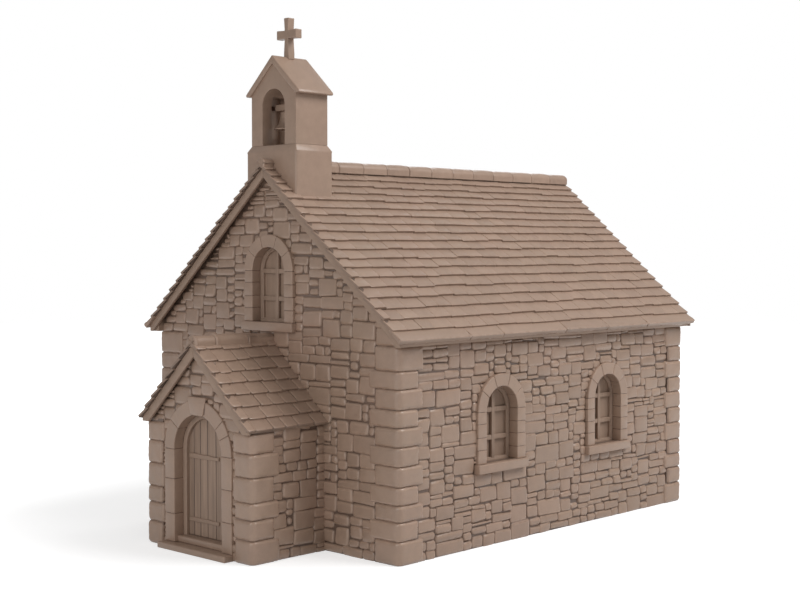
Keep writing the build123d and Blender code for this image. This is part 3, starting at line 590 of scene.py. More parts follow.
def spans(marks: Array) -> tuple[Array, Array]:
    """Middles and half widths of the spans between marks in a row."""
    return (marks[:-1] + marks[1:]) / 2, np.diff(marks) / 2


def on_face(face: Face) -> Shape:
    """Shape that reads a block's coordinates as along, up and out of a face."""
    return lambda spot: face.place(spot[..., 0], spot[..., 1], spot[..., 2])


def round_arch(face: Face, centre: float, spring: float, middle: float) -> Shape:
    """Shape that bends blocks into an arch on a face.

    The first coordinate is a length along the middle circle, read as the angle length / middle from the
    left springing, the second is added to that circle's radius, and the third stands out of the face.

    Args:
        face: Face of the wall.
        centre: Middle of the arch along the face.
        spring: Height where the arch begins.
        middle: Radius of the middle circle.

    Returns:
        The shape.
    """

    def bend(spot: Array) -> Array:
        """Turns the length into an angle and the height into a radius."""
        angle = pi - spot[..., 0] / middle
        reach = middle + spot[..., 1]
        return face.place(centre + reach * np.cos(angle), spring + reach * np.sin(angle), spot[..., 2])

    return bend


def under_arch(across: Array, share: Array, foot: float, spring: float, reach: float) -> Array:
    """Heights under a round arch: foot + share * (spring + sqrt(reach^2 - across^2) - foot)."""
    top = spring + np.sqrt(np.maximum(reach**2 - across**2, 0.0))
    return foot + np.clip(share, 0.0, 1.0) * (top - foot)


def swept(sections: Array, close_path: bool, close_section: bool = True) -> Shell:
    """Skin over sections along a path.

    Args:
        sections: Array of path stations x section points x 3.
        close_path: Whether the last station joins the first.
        close_section: Whether each section closes on itself.

    Returns:
        The skin, open at the ends of a direction that isn't closed.
    """
    stations, size = sections.shape[:2]
    quads = grid_quads(stations, size, close_path, close_section)
    count = stations * size
    return Shell(sections.reshape(-1, 3), quads, np.zeros(count), np.zeros(count))


def softened(node: str, name: str, width: float, upright: float = 0.0) -> bpy.types.Object:
    """Copy of a packed node with its doubles merged, flat faces joined and arrises rounded.

    Args:
        node: Packed node to copy.
        name: Name of the new piece.
        width: Width of the rounding.
        upright: Width of the rounding of upright arrises, where it is larger than the rest.

    Returns:
        The new piece, linked to the scene.
    """
    widest = max(width, upright)
    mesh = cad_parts[node].data.copy()
    mesh.name = name
    mesh.materials.clear()
    skin = bmesh.new()
    skin.from_mesh(mesh)
    bmesh.ops.remove_doubles(skin, verts=skin.verts, dist=SAME_POINT)
    bmesh.ops.dissolve_limit(skin, angle_limit=FLAT_ARRIS, verts=skin.verts, edges=skin.edges)
    weight = skin.edges.layers.float.new("bevel_weight_edge")
    for edge in skin.edges:
        if edge.calc_face_angle(0.0) > SHARP_ARRIS:
            way = edge.verts[1].co - edge.verts[0].co
            is_upright = abs(way.z) > UPRIGHT_SHARE * way.length
            edge[weight] = (widest if is_upright else width) / widest
    skin.to_mesh(mesh)
    skin.free()
    piece = placed(name, mesh)
    rounding = piece.modifiers.new("rounding", "BEVEL")
    rounding.width = widest
    rounding.segments = ROUNDING_SEGMENTS
    rounding.limit_method = "WEIGHT"
    mesh.shade_smooth()
    return piece


class Bench:
    """Node tree with short calls that add nodes and join them."""

    def __init__(self, tree: bpy.types.NodeTree) -> None:
        """Starts on a tree."""
        self.tree = tree

    @classmethod
    def on(cls, owner: bpy.types.ID) -> "Bench":
        """Starts on the emptied tree of a material or a world."""
        owner.use_nodes = True
        owner.node_tree.nodes.clear()
        return cls(owner.node_tree)

    def add(self, kind: str, inputs: dict | None = None, **settings: object) -> bpy.types.Node:
        """Adds a node.

        Args:
            kind: Blender's name of the node type.
            inputs: Values or sockets for its inputs, by name or number.
            **settings: Its own properties.

        Returns:
            The node.
        """
        node = self.tree.nodes.new(kind)
        for name, value in settings.items():
            setattr(node, name, value)
        for key, value in (inputs or {}).items():
            if isinstance(value, Socket):
                self.tree.links.new(value, node.inputs[key])
            else:
                node.inputs[key].default_value = value
        return node

    def math(self, operation: str, first: object, second: object = 0.0) -> Socket:
        """One step of arithmetic."""
        return self.add("ShaderNodeMath", {0: first, 1: second}, operation=operation).outputs[0]

    def times(self, value: object, share: object) -> Socket:
        """Product of two values."""
        return self.math("MULTIPLY", value, share)

    def total(self, *values: object) -> Socket:
        """Sum of several values."""
        result = values[0]
        for value in values[1:]:
            result = self.math("ADD", result, value)
        return result

    def noise(self, vector: object, scale: object, detail: float) -> Socket:
        """Cloud of values around a half."""
        inputs = {"Vector": vector, "Scale": scale, "Detail": detail}
        return self.add("ShaderNodeTexNoise", inputs).outputs[0]

    def tint(self, amount: object, colour: object, other: object) -> Socket:
        """Mix of two colours."""
        return self.add("ShaderNodeMix", {0: amount, 6: colour, 7: other}, data_type="RGBA").outputs[2]

    def spread(self, value: object, low_end: float, high_end: float) -> Socket:
        """Carries values from the span where noise lives to a range."""
        ends = dict(enumerate((value, *NOISE_SPAN, low_end, high_end)))
        return self.add("ShaderNodeMapRange", ends).outputs[0]

    def around(self, value: object, reach: float) -> Socket:
        """Carries noise to a range of this reach on both sides of 0."""
        return self.spread(value, -reach, reach)


NOISE_SPAN = (0.3, 0.7)
FLOAT, COLOUR, VECTOR = "NodeSocketFloat", "NodeSocketColor", "NodeSocketVector"
EFFECT_INPUTS = {"Vector": VECTOR, "Color": COLOUR}
EFFECT_OUTPUTS = {"Color": COLOUR, "Roughness": FLOAT, "Height": FLOAT}


class Effect(Enum):
    """Shader groups that the materials share."""

    STONE = "stone_finish"
    WOOD = "wood_finish"
    METAL = "metal_finish"


class EffectGroup:
    """One shader group, from its named inputs to colour, roughness and height."""

    def __init__(self, effect: Effect, *values: str) -> None:
        """Starts an empty group.

        Args:
            effect: Which effect it is.
            *values: Names of its inputs beside Vector and Color.
        """
        self.tree = bpy.data.node_groups.new(effect.value, "ShaderNodeTree")
        inputs = EFFECT_INPUTS | dict.fromkeys(values, FLOAT)
        for direction, sockets in (("INPUT", inputs), ("OUTPUT", EFFECT_OUTPUTS)):
            for socket, kind in sockets.items():
                self.tree.interface.new_socket(socket, in_out=direction, socket_type=kind)
        self.bench = Bench(self.tree)
        self.given = self.bench.add("NodeGroupInput").outputs

    def finish(self, colour: object, level: object, roughness: object, height: object) -> None:
        """Joins the results to the outputs.

        Args:
            colour: Colour before it is made darker or paler.
            level: Value that the colour is multiplied by.
            roughness: Roughness of the surface.
            height: Height for the bump.
        """
        shade = self.bench.add("ShaderNodeHueSaturation", {"Color": colour, "Value": level})
        results = {"Color": shade.outputs[0], "Roughness": roughness, "Height": height}
        self.bench.add("NodeGroupOutput", results)


def stone_effect() -> None:
    """Stone: slow drifts of hue, a tone a stone, painted highlights on the arrises, painted shade at the
    joints and a fine grain.

    With the edge value e an arris is made pale, a painted highlight, and smooth by e (1 - e), which is most
    between face and outline. Towards the outline the colour is made dark, a painted shade of the joint, and
    rough by a high power of e.
    """
    rosy, rosy_share = (0.365, 0.238, 0.182, 1.0), 0.35
    patch_reach, fine_reach = 0.05, 0.025
    # Paleness and smoothness of the painted highlight; power, darkness and roughness of the painted joint
    # shade.
    highlight_pale, highlight_smooth = 0.45, 0.5
    joint_shade_power, joint_shade_dark, joint_rough = 6.0, 0.2, 0.15
    group = EffectGroup(Effect.STONE, "Tone", "Edge", "Spread", "Grain")
    bench, given = group.bench, group.given
    colour, edge = given["Color"], given["Edge"]
    slow = bench.noise(given["Vector"], 0.9, 2.0)
    patch = bench.noise(given["Vector"], 7.0, 4.0)
    fine = bench.noise(given["Vector"], given["Grain"], 6.0)
    drift = bench.tint(bench.spread(slow, 0.0, 1.0), colour, rosy)
    tone = bench.times(given["Tone"], given["Spread"])
    # Painted highlight: paler and smoother between face and outline, where light catches a rounded arris.
    arris_highlight = bench.times(edge, bench.math("SUBTRACT", 1.0, edge))
    # Painted shade: darker and rougher right at the outline, where shade falls in the joints.
    joint_shade = bench.math("POWER", bench.math("MAXIMUM", edge, 0.0), joint_shade_power)
    level = bench.total(
        tone, bench.around(patch, patch_reach), bench.around(fine, fine_reach),
        bench.times(arris_highlight, highlight_pale), bench.times(joint_shade, -joint_shade_dark), 1.0,
    )
    rough = bench.total(
        bench.spread(patch, 0.34, 0.46), bench.times(joint_shade, joint_rough), bench.times(arris_highlight, -highlight_smooth)
    )
    height = bench.total(bench.times(patch, 0.6), bench.times(fine, 0.4))
    group.finish(bench.tint(rosy_share, colour, drift), level, rough, height)


def wood_effect() -> None:
    """Wood: long grain from noise on stretched coordinates, in pale and dark years, with painted shade that
    darkens it towards its outline at the joints.
    """
    tone_reach, years_reach, fibre_reach = 0.05, 0.09, 0.05
    group = EffectGroup(Effect.WOOD, "Tone", "Edge", "Depth", "JointShade")
    bench, given = group.bench, group.given
    years = bench.noise(given["Vector"], 6.0, 5.0)
    fibre = bench.noise(given["Vector"], 22.0, 4.0)
    # Painted shade: darker towards the outline, for the shade in the joints between boards, by the finish's
    # own amount.
    joint_shade = bench.times(given["Edge"], given["JointShade"])
    level = bench.total(
        bench.times(given["Tone"], tone_reach),
        bench.times(bench.around(years, years_reach), given["Depth"]),
        bench.times(bench.around(fibre, fibre_reach), given["Depth"]),
        bench.times(joint_shade, -1.0), 1.0,
    )
    height = bench.total(bench.times(years, 0.6), bench.times(fibre, 0.4))
    group.finish(given["Color"], level, bench.spread(fibre, 0.5, 0.64), height)


def metal_effect() -> None:
    """Cast metal: a dull patina in clouds over a finer pitting."""
    group = EffectGroup(Effect.METAL)
    bench, given = group.bench, group.given
    clouds = bench.noise(given["Vector"], 9.0, 5.0)
    pits = bench.noise(given["Vector"], 90.0, 3.0)
    level = bench.total(bench.spread(clouds, 0.88, 1.1), bench.around(pits, 0.03))
    height = bench.total(bench.times(clouds, 0.3), bench.times(pits, 0.7))
    group.finish(given["Color"], level, bench.spread(clouds, 0.34, 0.52), height)


@dataclass(frozen=True)
class Finish:
    """One surface finish.

    Attributes:
        name: Name of the material.
        colour: Base colour, linear.
        effect: Which shared effect it uses.
        values: Values for the effect's own inputs.
        stretch: Scale of the pattern in X, Y and Z, which lays the grain.
        bump: Depth of the bump in metres.
        metallic: Whether the surface is bare metal.
    """

    name: str
    colour: tuple[float, float, float]
    effect: Effect
    values: dict[str, float] = field(default_factory=dict)
    stretch: tuple[float, float, float] = (1.0, 1.0, 1.0)
    bump: float = 0.002
    metallic: float = 0.0

    def material(self) -> bpy.types.Material:
        """Builds the material: the shared effect feeds colour, roughness and a bump on one shader.

        Returns:
            The material.
        """
        material = bpy.data.materials.new(self.name)
        bench = Bench.on(material)
        place = bench.add("ShaderNodeTexCoord").outputs["Object"]
        laid = bench.add("ShaderNodeMapping", {"Vector": place, "Scale": self.stretch}).outputs[0]
        effect = bench.add("ShaderNodeGroup", node_tree=bpy.data.node_groups[self.effect.value])
        bench.tree.links.new(laid, effect.inputs["Vector"])
        effect.inputs["Color"].default_value = (*self.colour, 1.0)
        for name in ("Tone", "Edge"):
            if name in effect.inputs:
                value = bench.add("ShaderNodeAttribute", attribute_name=name.lower())
                bench.tree.links.new(value.outputs["Fac"], effect.inputs[name])
        for name, value in self.values.items():
            effect.inputs[name].default_value = value
        bump = {"Strength": 1.0, "Distance": self.bump, "Height": effect.outputs["Height"]}
        relief = bench.add("ShaderNodeBump", bump)
        surface = {
            "Base Color": effect.outputs["Color"], "Roughness": effect.outputs["Roughness"],
            "Metallic": self.metallic, "Normal": relief.outputs[0],
        }
        shader = bench.add("ShaderNodeBsdfPrincipled", surface)
        bench.add("ShaderNodeOutputMaterial", {"Surface": shader.outputs[0]})
        return material


class Finishes:
    """All finishes of the chapel, in the one weathered brown that it has all over."""

    RUBBLE = Finish(
        "rubble", (0.33, 0.227, 0.166), Effect.STONE, {"Spread": 0.07, "Grain": 45.0}, bump=0.004
    )
    # Mortar between the stones: darker than stone in its own colour, and darker still as painted shade for
    # the deep open joints.
    MORTAR = Finish("mortar", (0.11, 0.073, 0.053), Effect.STONE, {"Spread": 0.0, "Grain": 60.0}, bump=0.006)
    DRESSED = Finish(
        "dressed", (0.35, 0.242, 0.178), Effect.STONE, {"Spread": 0.04, "Grain": 40.0}, bump=0.0015
    )
    SLATE = Finish("slate", (0.35, 0.243, 0.18), Effect.STONE, {"Spread": 0.06, "Grain": 30.0}, bump=0.003)
    FLAGS = Finish("flags", (0.31, 0.214, 0.158), Effect.STONE, {"Spread": 0.03, "Grain": 25.0}, bump=0.002)
    UPRIGHT_WOOD = Finish(
        "upright_wood", (0.325, 0.224, 0.165), Effect.WOOD, {"Depth": 1.0, "JointShade": 0.05},
        stretch=(2.6, 2.6, 0.16), bump=0.0025,
    )
    # Planks take strong painted shade at their edges, for the shadowed grooves between them.
    PLANK_WOOD = Finish(
        "plank_wood", (0.33, 0.228, 0.168), Effect.WOOD, {"Depth": 1.9, "JointShade": 0.85},
        stretch=(3.2, 3.2, 0.13), bump=0.005,
    )
    LEVEL_WOOD = Finish(
        "level_wood", (0.33, 0.228, 0.168), Effect.WOOD, {"Depth": 0.8, "JointShade": 0.05},
        stretch=(2.4, 0.18, 2.4), bump=0.002,
    )
    CROSS_WOOD = Finish(
        "cross_wood", (0.33, 0.228, 0.168), Effect.WOOD, {"Depth": 0.8, "JointShade": 0.05},
        stretch=(0.3, 2.4, 1.6), bump=0.002,
    )
    BELL_METAL = Finish("bell_metal", (0.3, 0.205, 0.15), Effect.METAL, bump=0.001, metallic=0.35)
    IRON = Finish("iron", (0.205, 0.14, 0.103), Effect.METAL, bump=0.001, metallic=0.5)

    def __init__(self) -> None:
        """Builds the shared effects and one material a finish."""
        for build in (stone_effect, wood_effect, metal_effect):
            build()
        finishes = [value for value in vars(Finishes).values() if isinstance(value, Finish)]
        self.materials = {finish.name: finish.material() for finish in finishes}

    def dress(self, piece: bpy.types.Object, finish: Finish) -> None:
        """Gives a whole piece one finish."""
        piece.data.materials.clear()
        piece.data.materials.append(self.materials[finish.name])

    def dress_nodes(self, finish: Finish, names: str) -> None:
        """Gives one finish to packed nodes, named in one line of words."""
        for name in names.split():
            self.dress(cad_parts[name], finish)

    def fit(
        self, piece: bpy.types.Object, finish: Finish, slot: Slot,
        body: Body = Body.WALLS, replaced: tuple[str, ...] = (),
    ) -> None:
        """Finishes a new piece, hangs it on the body that it moves with, and hides the packed nodes that it
        stands for.

        Args:
            piece: The new piece.
            finish: Its finish.
            slot: The slot named for it; not used.
            body: The body that it moves with.
            replaced: Packed nodes that it stands for.
        """
        self.dress(piece, finish)
        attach(piece, body.value)
        if replaced:
            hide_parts(*replaced)
        LOG.info("%s: %d faces", piece.name, len(piece.data.polygons))


@dataclass(frozen=True)
class RoofPlane:
    """One slope, by the plane through its slates' butts.

    Attributes:
        ridge: Height where both slopes' planes meet.
        pitch: Slope in degrees.
        eave: Distance of the eave from the ridge in plan.
        courses: Number of slate courses.
    """

    ridge: float
    pitch: float
    eave: float
    courses: int

    LIFT = 0.038

    @classmethod
    def of_node(cls, node: str, pitch: float, courses: int) -> "RoofPlane":
        """Reads the plane off a packed slope: its top edge lies one slate's lift under the plane."""
        return cls(high(node).z + cls.LIFT / cos(radians(pitch)), pitch, high(node).x, courses)

    def height(self, across: Array | float, depth: float) -> Array | float:
        """Height at a distance from the ridge, this deep under the plane."""
        return self.ridge - depth / cos(radians(self.pitch)) - np.abs(across) * tan(radians(self.pitch))

    def face(self, side: int) -> Face:
        """Face of the slope on one side: along the ridge, and up the slope to the ridge at 0."""
        slope = radians(self.pitch)
        return Face((0.0, 0.0, self.ridge), (0.0, float(side), 0.0), (-side * cos(slope), 0.0, sin(slope)))


@dataclass
class Slates:
    """Stone slates of one roof, laid course by course.

    Attributes:
        plane: The roof's plane.
        start: Lowest y of the slates.
        end: Highest y.
        width: Mean width of a slate.
        corner: Radius of a slate's corners.
        gap: Space between neighbours.
        edge: Radius of the rounding along a slate's edges.
        diminish: Share by which the mean gauge shrinks at the ridge and grows at the eave.
        eave_width: Mean width of the thick slates along the eave, or 0 for none.
        hidden: Plan box that no slate stands in: half width, lowest y and highest y.
    """

    plane: RoofPlane
    start: float
    end: float
    width: float
    corner: float
    gap: float
    edge: float
    diminish: float = 0.0
    eave_width: float = 0.0
    hidden: tuple[float, float, float] = (0.0, 0.0, 0.0)

    THICK = 0.036
    WIDTH_SPREAD = (0.78, 1.25)
    NARROWEST = 0.12
    TUCK = 0.01
    HEAD_LAP = 0.055
    WAVE = 0.012
    ROCK = 0.004
    EAVE_THICK = 0.096
    EAVE_THINNING = 0.62
    EAVE_RADIUS = 0.022
    EAVE_SPREAD = 0.3
    SPARE = 0.009
    VERGE_RAG = 0.016
    VERGE_TILT = (0.34, 0.012)
    VERGE_BOW = 0.03
    BED_FROM = 0.03
    BED_HALF = (0.045, 0.02)
    BED_DEPTH = 0.062
    BED_SHORT = 0.03
    BED_RADIUS = 0.006

    def butts(self) -> Array:
        """Slope length to every butt line, from 0 at the ridge.

        Returns:
            The whole length times s + d s (s - 1), with the course's share s and the diminishing d.
        """
        share = np.arange(self.plane.courses + 1) / self.plane.courses
        length = self.plane.eave / cos(radians(self.plane.pitch))
        return length * (share + self.diminish * share * (share - 1))

    def tilt(self, along: Array, run: Array | float) -> Array:
        """How far the slates beside the front verge are bedded up.

        The lift is highest at the verge and falls as the square of the nearness to it. Along the slope
        it grows by the bow times 4 s (1 - s), where s is the share of the slope.

        Args:
            along: Places along the ridge, as y.
            run: Slope lengths from the ridge.

        Returns:
            One lift a place.
        """
        reach, rise = self.VERGE_TILT
        inward = along - self.start
        share = run * cos(radians(self.plane.pitch)) / self.plane.eave
        lift = rise + self.VERGE_BOW * 4 * share * (1 - share)
        return lift * np.clip(1 - inward / reach, 0.0, 1.0) ** 2

    def course(self, run: float, draw: np.random.Generator) -> Array:
        """Ends of the slates of one course along y, cut off where the bell-cote stands.

        Args:
            run: Slope length from the ridge to the course's butts.
            draw: Source of the widths.

        Returns:
            Lowest and highest y, one row a slate.
        """
        count = int((self.end - self.start) / self.width * 1.2) + 2
        widths = self.width * draw.uniform(*self.WIDTH_SPREAD, count)
        marks = self.start + np.concatenate([[0.0], np.cumsum(widths)]) - draw.uniform(0, 0.5) * self.width
        marks = marks[(marks > self.start + self.NARROWEST) & (marks < self.end - self.NARROWEST)]
        rag = draw.uniform(0.0, self.VERGE_RAG, 2)
        marks = np.concatenate([[self.start + rag[0]], marks, [self.end - rag[1]]])
        ends = np.stack([marks[:-1], marks[1:]], axis=1)
        half_width, low_y, high_y = self.hidden
        if run * cos(radians(self.plane.pitch)) > half_width:
            return ends
        before = ends[ends[:, 0] < low_y]
        after = ends[ends[:, 1] > high_y]
        before[:, 1] = np.minimum(before[:, 1], low_y + self.TUCK)
        after[:, 0] = np.maximum(after[:, 0], high_y - self.TUCK)
        return np.concatenate([before, after])

    def shell(self, side: int, seed: int) -> Shell:
        """Slates of one side: each lifts evenly from under the course above to its own butt.

        Args:
            side: -1 for the left slope, 1 for the right one.
            seed: Seed of the widths and of the unevenness.

        Returns:
            One shell of all slates.
        """
        draw = np.random.default_rng(seed)
        butts = self.butts()
        ends, runs, gauges = [], [], []
        for index in range(1, self.plane.courses + (self.eave_width == 0)):
            ends.append(self.course(butts[index], draw))
            runs.append(np.full(len(ends[-1]), butts[index]))
            gauges.append(np.full(len(ends[-1]), butts[index] - butts[index - 1]))
        ends, runs, gauges = np.concatenate(ends), np.concatenate(runs), np.concatenate(gauges)
        count = len(runs)
        middle = ends.mean(axis=1)
        wave = self.WAVE * (ripple(middle, 3 * runs, seed) + draw.uniform(-0.9, 0.9, count))
        butt = runs + np.where(runs == butts[-1], -np.abs(wave), wave)
        head = runs - gauges - self.HEAD_LAP
        half = np.stack([(ends[:, 1] - ends[:, 0] - self.gap) / 2, (butt - head) / 2], axis=1)
        centre = np.stack([side * middle, -(butt + head) / 2], axis=1)
        rock = draw.uniform(-self.ROCK, 0.0, count) + self.tilt(middle, runs)
        drop = self.plane.LIFT * (butt - head) / gauges
        stones = FieldStones(self.plane.face(side), seed, uneven=0.003, skew=0.005)
        return stones.lay(
            centre, half,
            radius=np.full(count, self.corner), edge_radius=np.full(count, self.edge),
            low_height=rock, high_height=rock - drop, skirt=np.full(count, self.THICK),
        )

    def verge_bed(self, side: int) -> Shell:
        """Mortar under the slates of the front verge, over the board there.

        Args:
            side: -1 for the left slope, 1 for the right one.

        Returns:
            The bed as one long block.
        """
        length = float(self.butts()[-1])
        wide, thick = self.BED_HALF
        centre = (side * (self.start + self.BED_FROM + wide), -length / 2, -self.BED_DEPTH)
        face = self.plane.face(side)

        def follow(spot: Array) -> Array:
            """Lifts the bed with the slates over it."""
            lift = self.tilt(side * spot[..., 0], -spot[..., 1])
            return face.place(spot[..., 0], spot[..., 1], spot[..., 2] + lift)

        half = (wide, length / 2 - self.BED_SHORT, thick)
        return Blocks(9, knots=FINE_KNOTS).lay(centre, half, self.BED_RADIUS, follow)

    def eave(self, side: int, seed: int) -> Shell:
        """Thick slates of the lowest course, as rounded blocks.

        Up the slope from the butt a block sinks by the same lift a gauge as every slate, and its
        thickness falls evenly, so that its head lies thin under the course above.

        Args:
            side: -1 for the left slope, 1 for the right one.
            seed: Seed of the widths and of the unevenness.

        Returns:
            One shell of the course.
        """
        draw = np.random.default_rng(seed)
        gauge = float(np.diff(self.butts())[-1])
        length = gauge + self.HEAD_LAP
        count = int((self.end - self.start) / self.eave_width)
        marks = np.linspace(self.start, self.end - self.SPARE, count + 1)
        marks[1:-1] += draw.uniform(-self.EAVE_SPREAD, self.EAVE_SPREAD, count - 1) * self.eave_width
        run = self.plane.eave / cos(radians(self.plane.pitch)) - self.SPARE
        short = draw.uniform(0.0, self.WAVE, count)
        thick = np.full(count, self.EAVE_THICK / 2)
        middle, wide = spans(marks)
        half = np.stack([wide, (length - short) / 2, thick], axis=1)
        centre = np.stack([side * middle, (length + short) / 2 - run, -thick], axis=1)
        face = self.plane.face(side)

        def lean(spot: Array) -> Array:
            """Thins and sinks the block up the slope, and lifts it with the verge."""
            climb = spot[..., 1] + run
            out = spot[..., 2] * (1 - self.EAVE_THINNING * climb / length) - self.plane.LIFT * climb / gauge
            out = out + self.tilt(side * spot[..., 0], run)
            return face.place(spot[..., 0], spot[..., 1], out)

        return Blocks(seed, uneven=0.007, knots=FINE_KNOTS).lay(centre, half, self.EAVE_RADIUS, lean)


@dataclass
class RidgeTiles:
    """Half-round ridge tiles, each a little barrel with a raised collar and a domed end.

    Attributes:
        top: Height of the tiles' crown.
        radius: Radius of a tile.
        joints: The y of every joint, with both ends.
        seed: Seed of the unevenness.
        taper: How much the radius grows from the near end to the far end.
        collar: How far the collar at the near end stands out.
        broad: Half width of a tile over its height.
    """

    top: float
    radius: float
    joints: Array
    seed: int
    taper: float = 0.0
    collar: float = 0.008
    broad: float = 1.12

    SWEEP = 100.0
    STEPS = 19
    APRON = 0.06
    GAP = 0.002
    UNEVEN = 0.004
    DEEPEST = 0.008

    def shell(self) -> Shell:
        """Skin of all tiles.

        Round a tile runs the angle, from -SWEEP to SWEEP about the crown, and at both ends an apron hangs
        down from the last point to the slates. Along the tile the radius is zero, a domed near end, the
        collar, the barrel, and a flat far end down to zero again, so a tile is solid. A ring stands at a
        share of the tile's length plus a shift, and its radius is the barrel's plus a swell.

        Returns:
            One shell of all tiles.
        """
        draw = np.random.default_rng(self.seed)
        start, end = self.joints[:-1], self.joints[1:]
        barrel = self.radius - max(self.collar, self.taper)
        rings = [
            (0.0, 0.0, -barrel), (0.0, 0.001, -0.03), (0.0, 0.006, -0.008), (0.0, 0.018, 0.005),
            (0.0, 0.032, self.collar), (0.0, 0.05, 0.006), (0.0, 0.062, 0.0), (0.4, 0.0, 0.002),
            (0.75, 0.0, 0.001), (1.0, -0.006, -0.004), (1.0, -0.006, -barrel),
        ]
        share, shift, swell = np.array(rings).T
        degrees = np.linspace(-self.SWEEP, self.SWEEP, self.STEPS)
        angle = np.radians(np.concatenate([degrees[:1], degrees, degrees[-1:]]))
        along = start[:, None] + share * (end - start)[:, None] + shift + self.GAP
        uneven = draw.uniform(-self.UNEVEN, self.UNEVEN, (len(start), len(share)))
        bump = uneven * (np.abs(swell) < self.collar)
        reach = barrel + swell + bump + self.taper * share * (swell > -barrel)
        sink = draw.uniform(0.0, self.DEEPEST, len(start))[:, None, None]
        x = self.broad * reach[:, :, None] * np.sin(angle)
        z = self.top - self.radius + reach[:, :, None] * np.cos(angle) - sink
        z[..., [0, -1]] -= self.APRON
        y = np.broadcast_to(along[:, :, None], x.shape)
        points = np.stack([x, y, z], axis=-1).reshape(len(start), -1, 3)
        quads = grid_quads(len(share), len(angle))[:, ::-1]
        return Shell.of_copies(points, quads, draw.uniform(-1, 1, len(start)), np.zeros(points.shape[1]))


@dataclass
class CornerStones:
    """Stacked corner stones of the nave or the porch.

    Attributes:
        joints: Heights of the bed joints, from the ground up.
        long_sides: Widths on the gable face and on the side face, of the larger stones.
        short_sides: The same of the smaller stones.
        proud: How far a stone stands before the wall faces.
        radius: Radius of the arrises.
        corner: Radius of the upright arris at the building's corner.
    """

    joints: tuple[float, ...]
    long_sides: tuple[float, float]
    short_sides: tuple[float, float]
    proud: float = 0.066
    radius: float = 0.044
    corner: float = 0.09

    JOINT = 0.002
    SIDE_SPREAD = (-0.008, 0.012)
    SET_BACK = 0.008
    PROUD_SPREAD = 0.004
    RADIUS_SPREAD = (0.8, 1.25)

    def shell(self, corner_x: float, corner_y: float, seed: int) -> Shell:
        """Stones of one corner, larger and smaller in turn.

        The building's corner is rounded in plan. First a block's own upright arris is made square again:
        there the offset q of a point from the middle of that round grows until its larger side is its
        length. Then the offset from the middle of the larger round shrinks until its length is its larger
        side. So the rounded beds of the stones run round the corner unbroken.

        Args:
            corner_x: Where the side wall's face is.
            corner_y: Where the gable's face is.
            seed: Seed of the small differences.

        Returns:
            One shell of the corner's stones.
        """
        draw = np.random.default_rng(seed)
        level, rise = spans(np.array(self.joints))
        count = len(level)
        turn = (np.arange(count) + seed) % 2
        sides = np.where(turn[:, None] == 0, self.long_sides, self.short_sides)
        sides = sides + draw.uniform(*self.SIDE_SPREAD, sides.shape)
        spread = draw.uniform(-self.PROUD_SPREAD, self.PROUD_SPREAD, (count, 2))
        half = np.stack([sides[:, 0] / 2, sides[:, 1] / 2, rise - self.JOINT], axis=1)
        toward = np.sign([corner_x, corner_y])
        outer = np.array([corner_x, corner_y]) + toward * (self.proud - self.SET_BACK + spread)
        centre = np.concatenate([outer - toward * half[:, :2], level[:, None]], axis=1)
        radius = self.radius * draw.uniform(*self.RADIUS_SPREAD, count)

        def scaled(offset: Array, power: int) -> Array:
            """Grows or shrinks the offsets beyond the corner by a power of larger side over length."""
            length = np.maximum(np.linalg.norm(offset, axis=-1, keepdims=True), TINY)
            larger = np.maximum(offset.max(axis=-1, keepdims=True), TINY)
            inside = (offset > 0).all(axis=-1, keepdims=True)
            return np.where(inside, offset * (larger / length) ** power, offset)

        def rounded(spot: Array) -> Array:
            """Squares the block's own upright arris, then rounds the building's corner."""
            reach = toward * (spot[..., :2] - outer[:, None])
            square = scaled(reach + radius[:, None, None], -1) - radius[:, None, None]
            bent = scaled(square + self.corner, 1) - self.corner
            return np.concatenate([outer[:, None] + toward * bent, spot[..., 2:]], axis=-1)

        stones = Blocks(seed, uneven=0.004, knots=FINE_KNOTS, bulge=0.012)
        shell = stones.lay(centre, half, radius, rounded)
        # Near the building's corner the edge value follows the beds alone, so the stone finish's painted
        # highlight and painted joint shade run along the joints and not up the rounded corner.
        size = len(shell.points) // count
        beyond = np.abs(shell.points[:, 2] - np.repeat(level, size)) - np.repeat(half[:, 2], size)
        bed = np.clip(1 + beyond / np.repeat(radius, size), 0.0, 1.0)
        near = (toward * (shell.points[:, :2] - (corner_x, corner_y)) > -self.corner).all(axis=1)
        shell.edge = np.where(near, bed, shell.edge)
        return shell


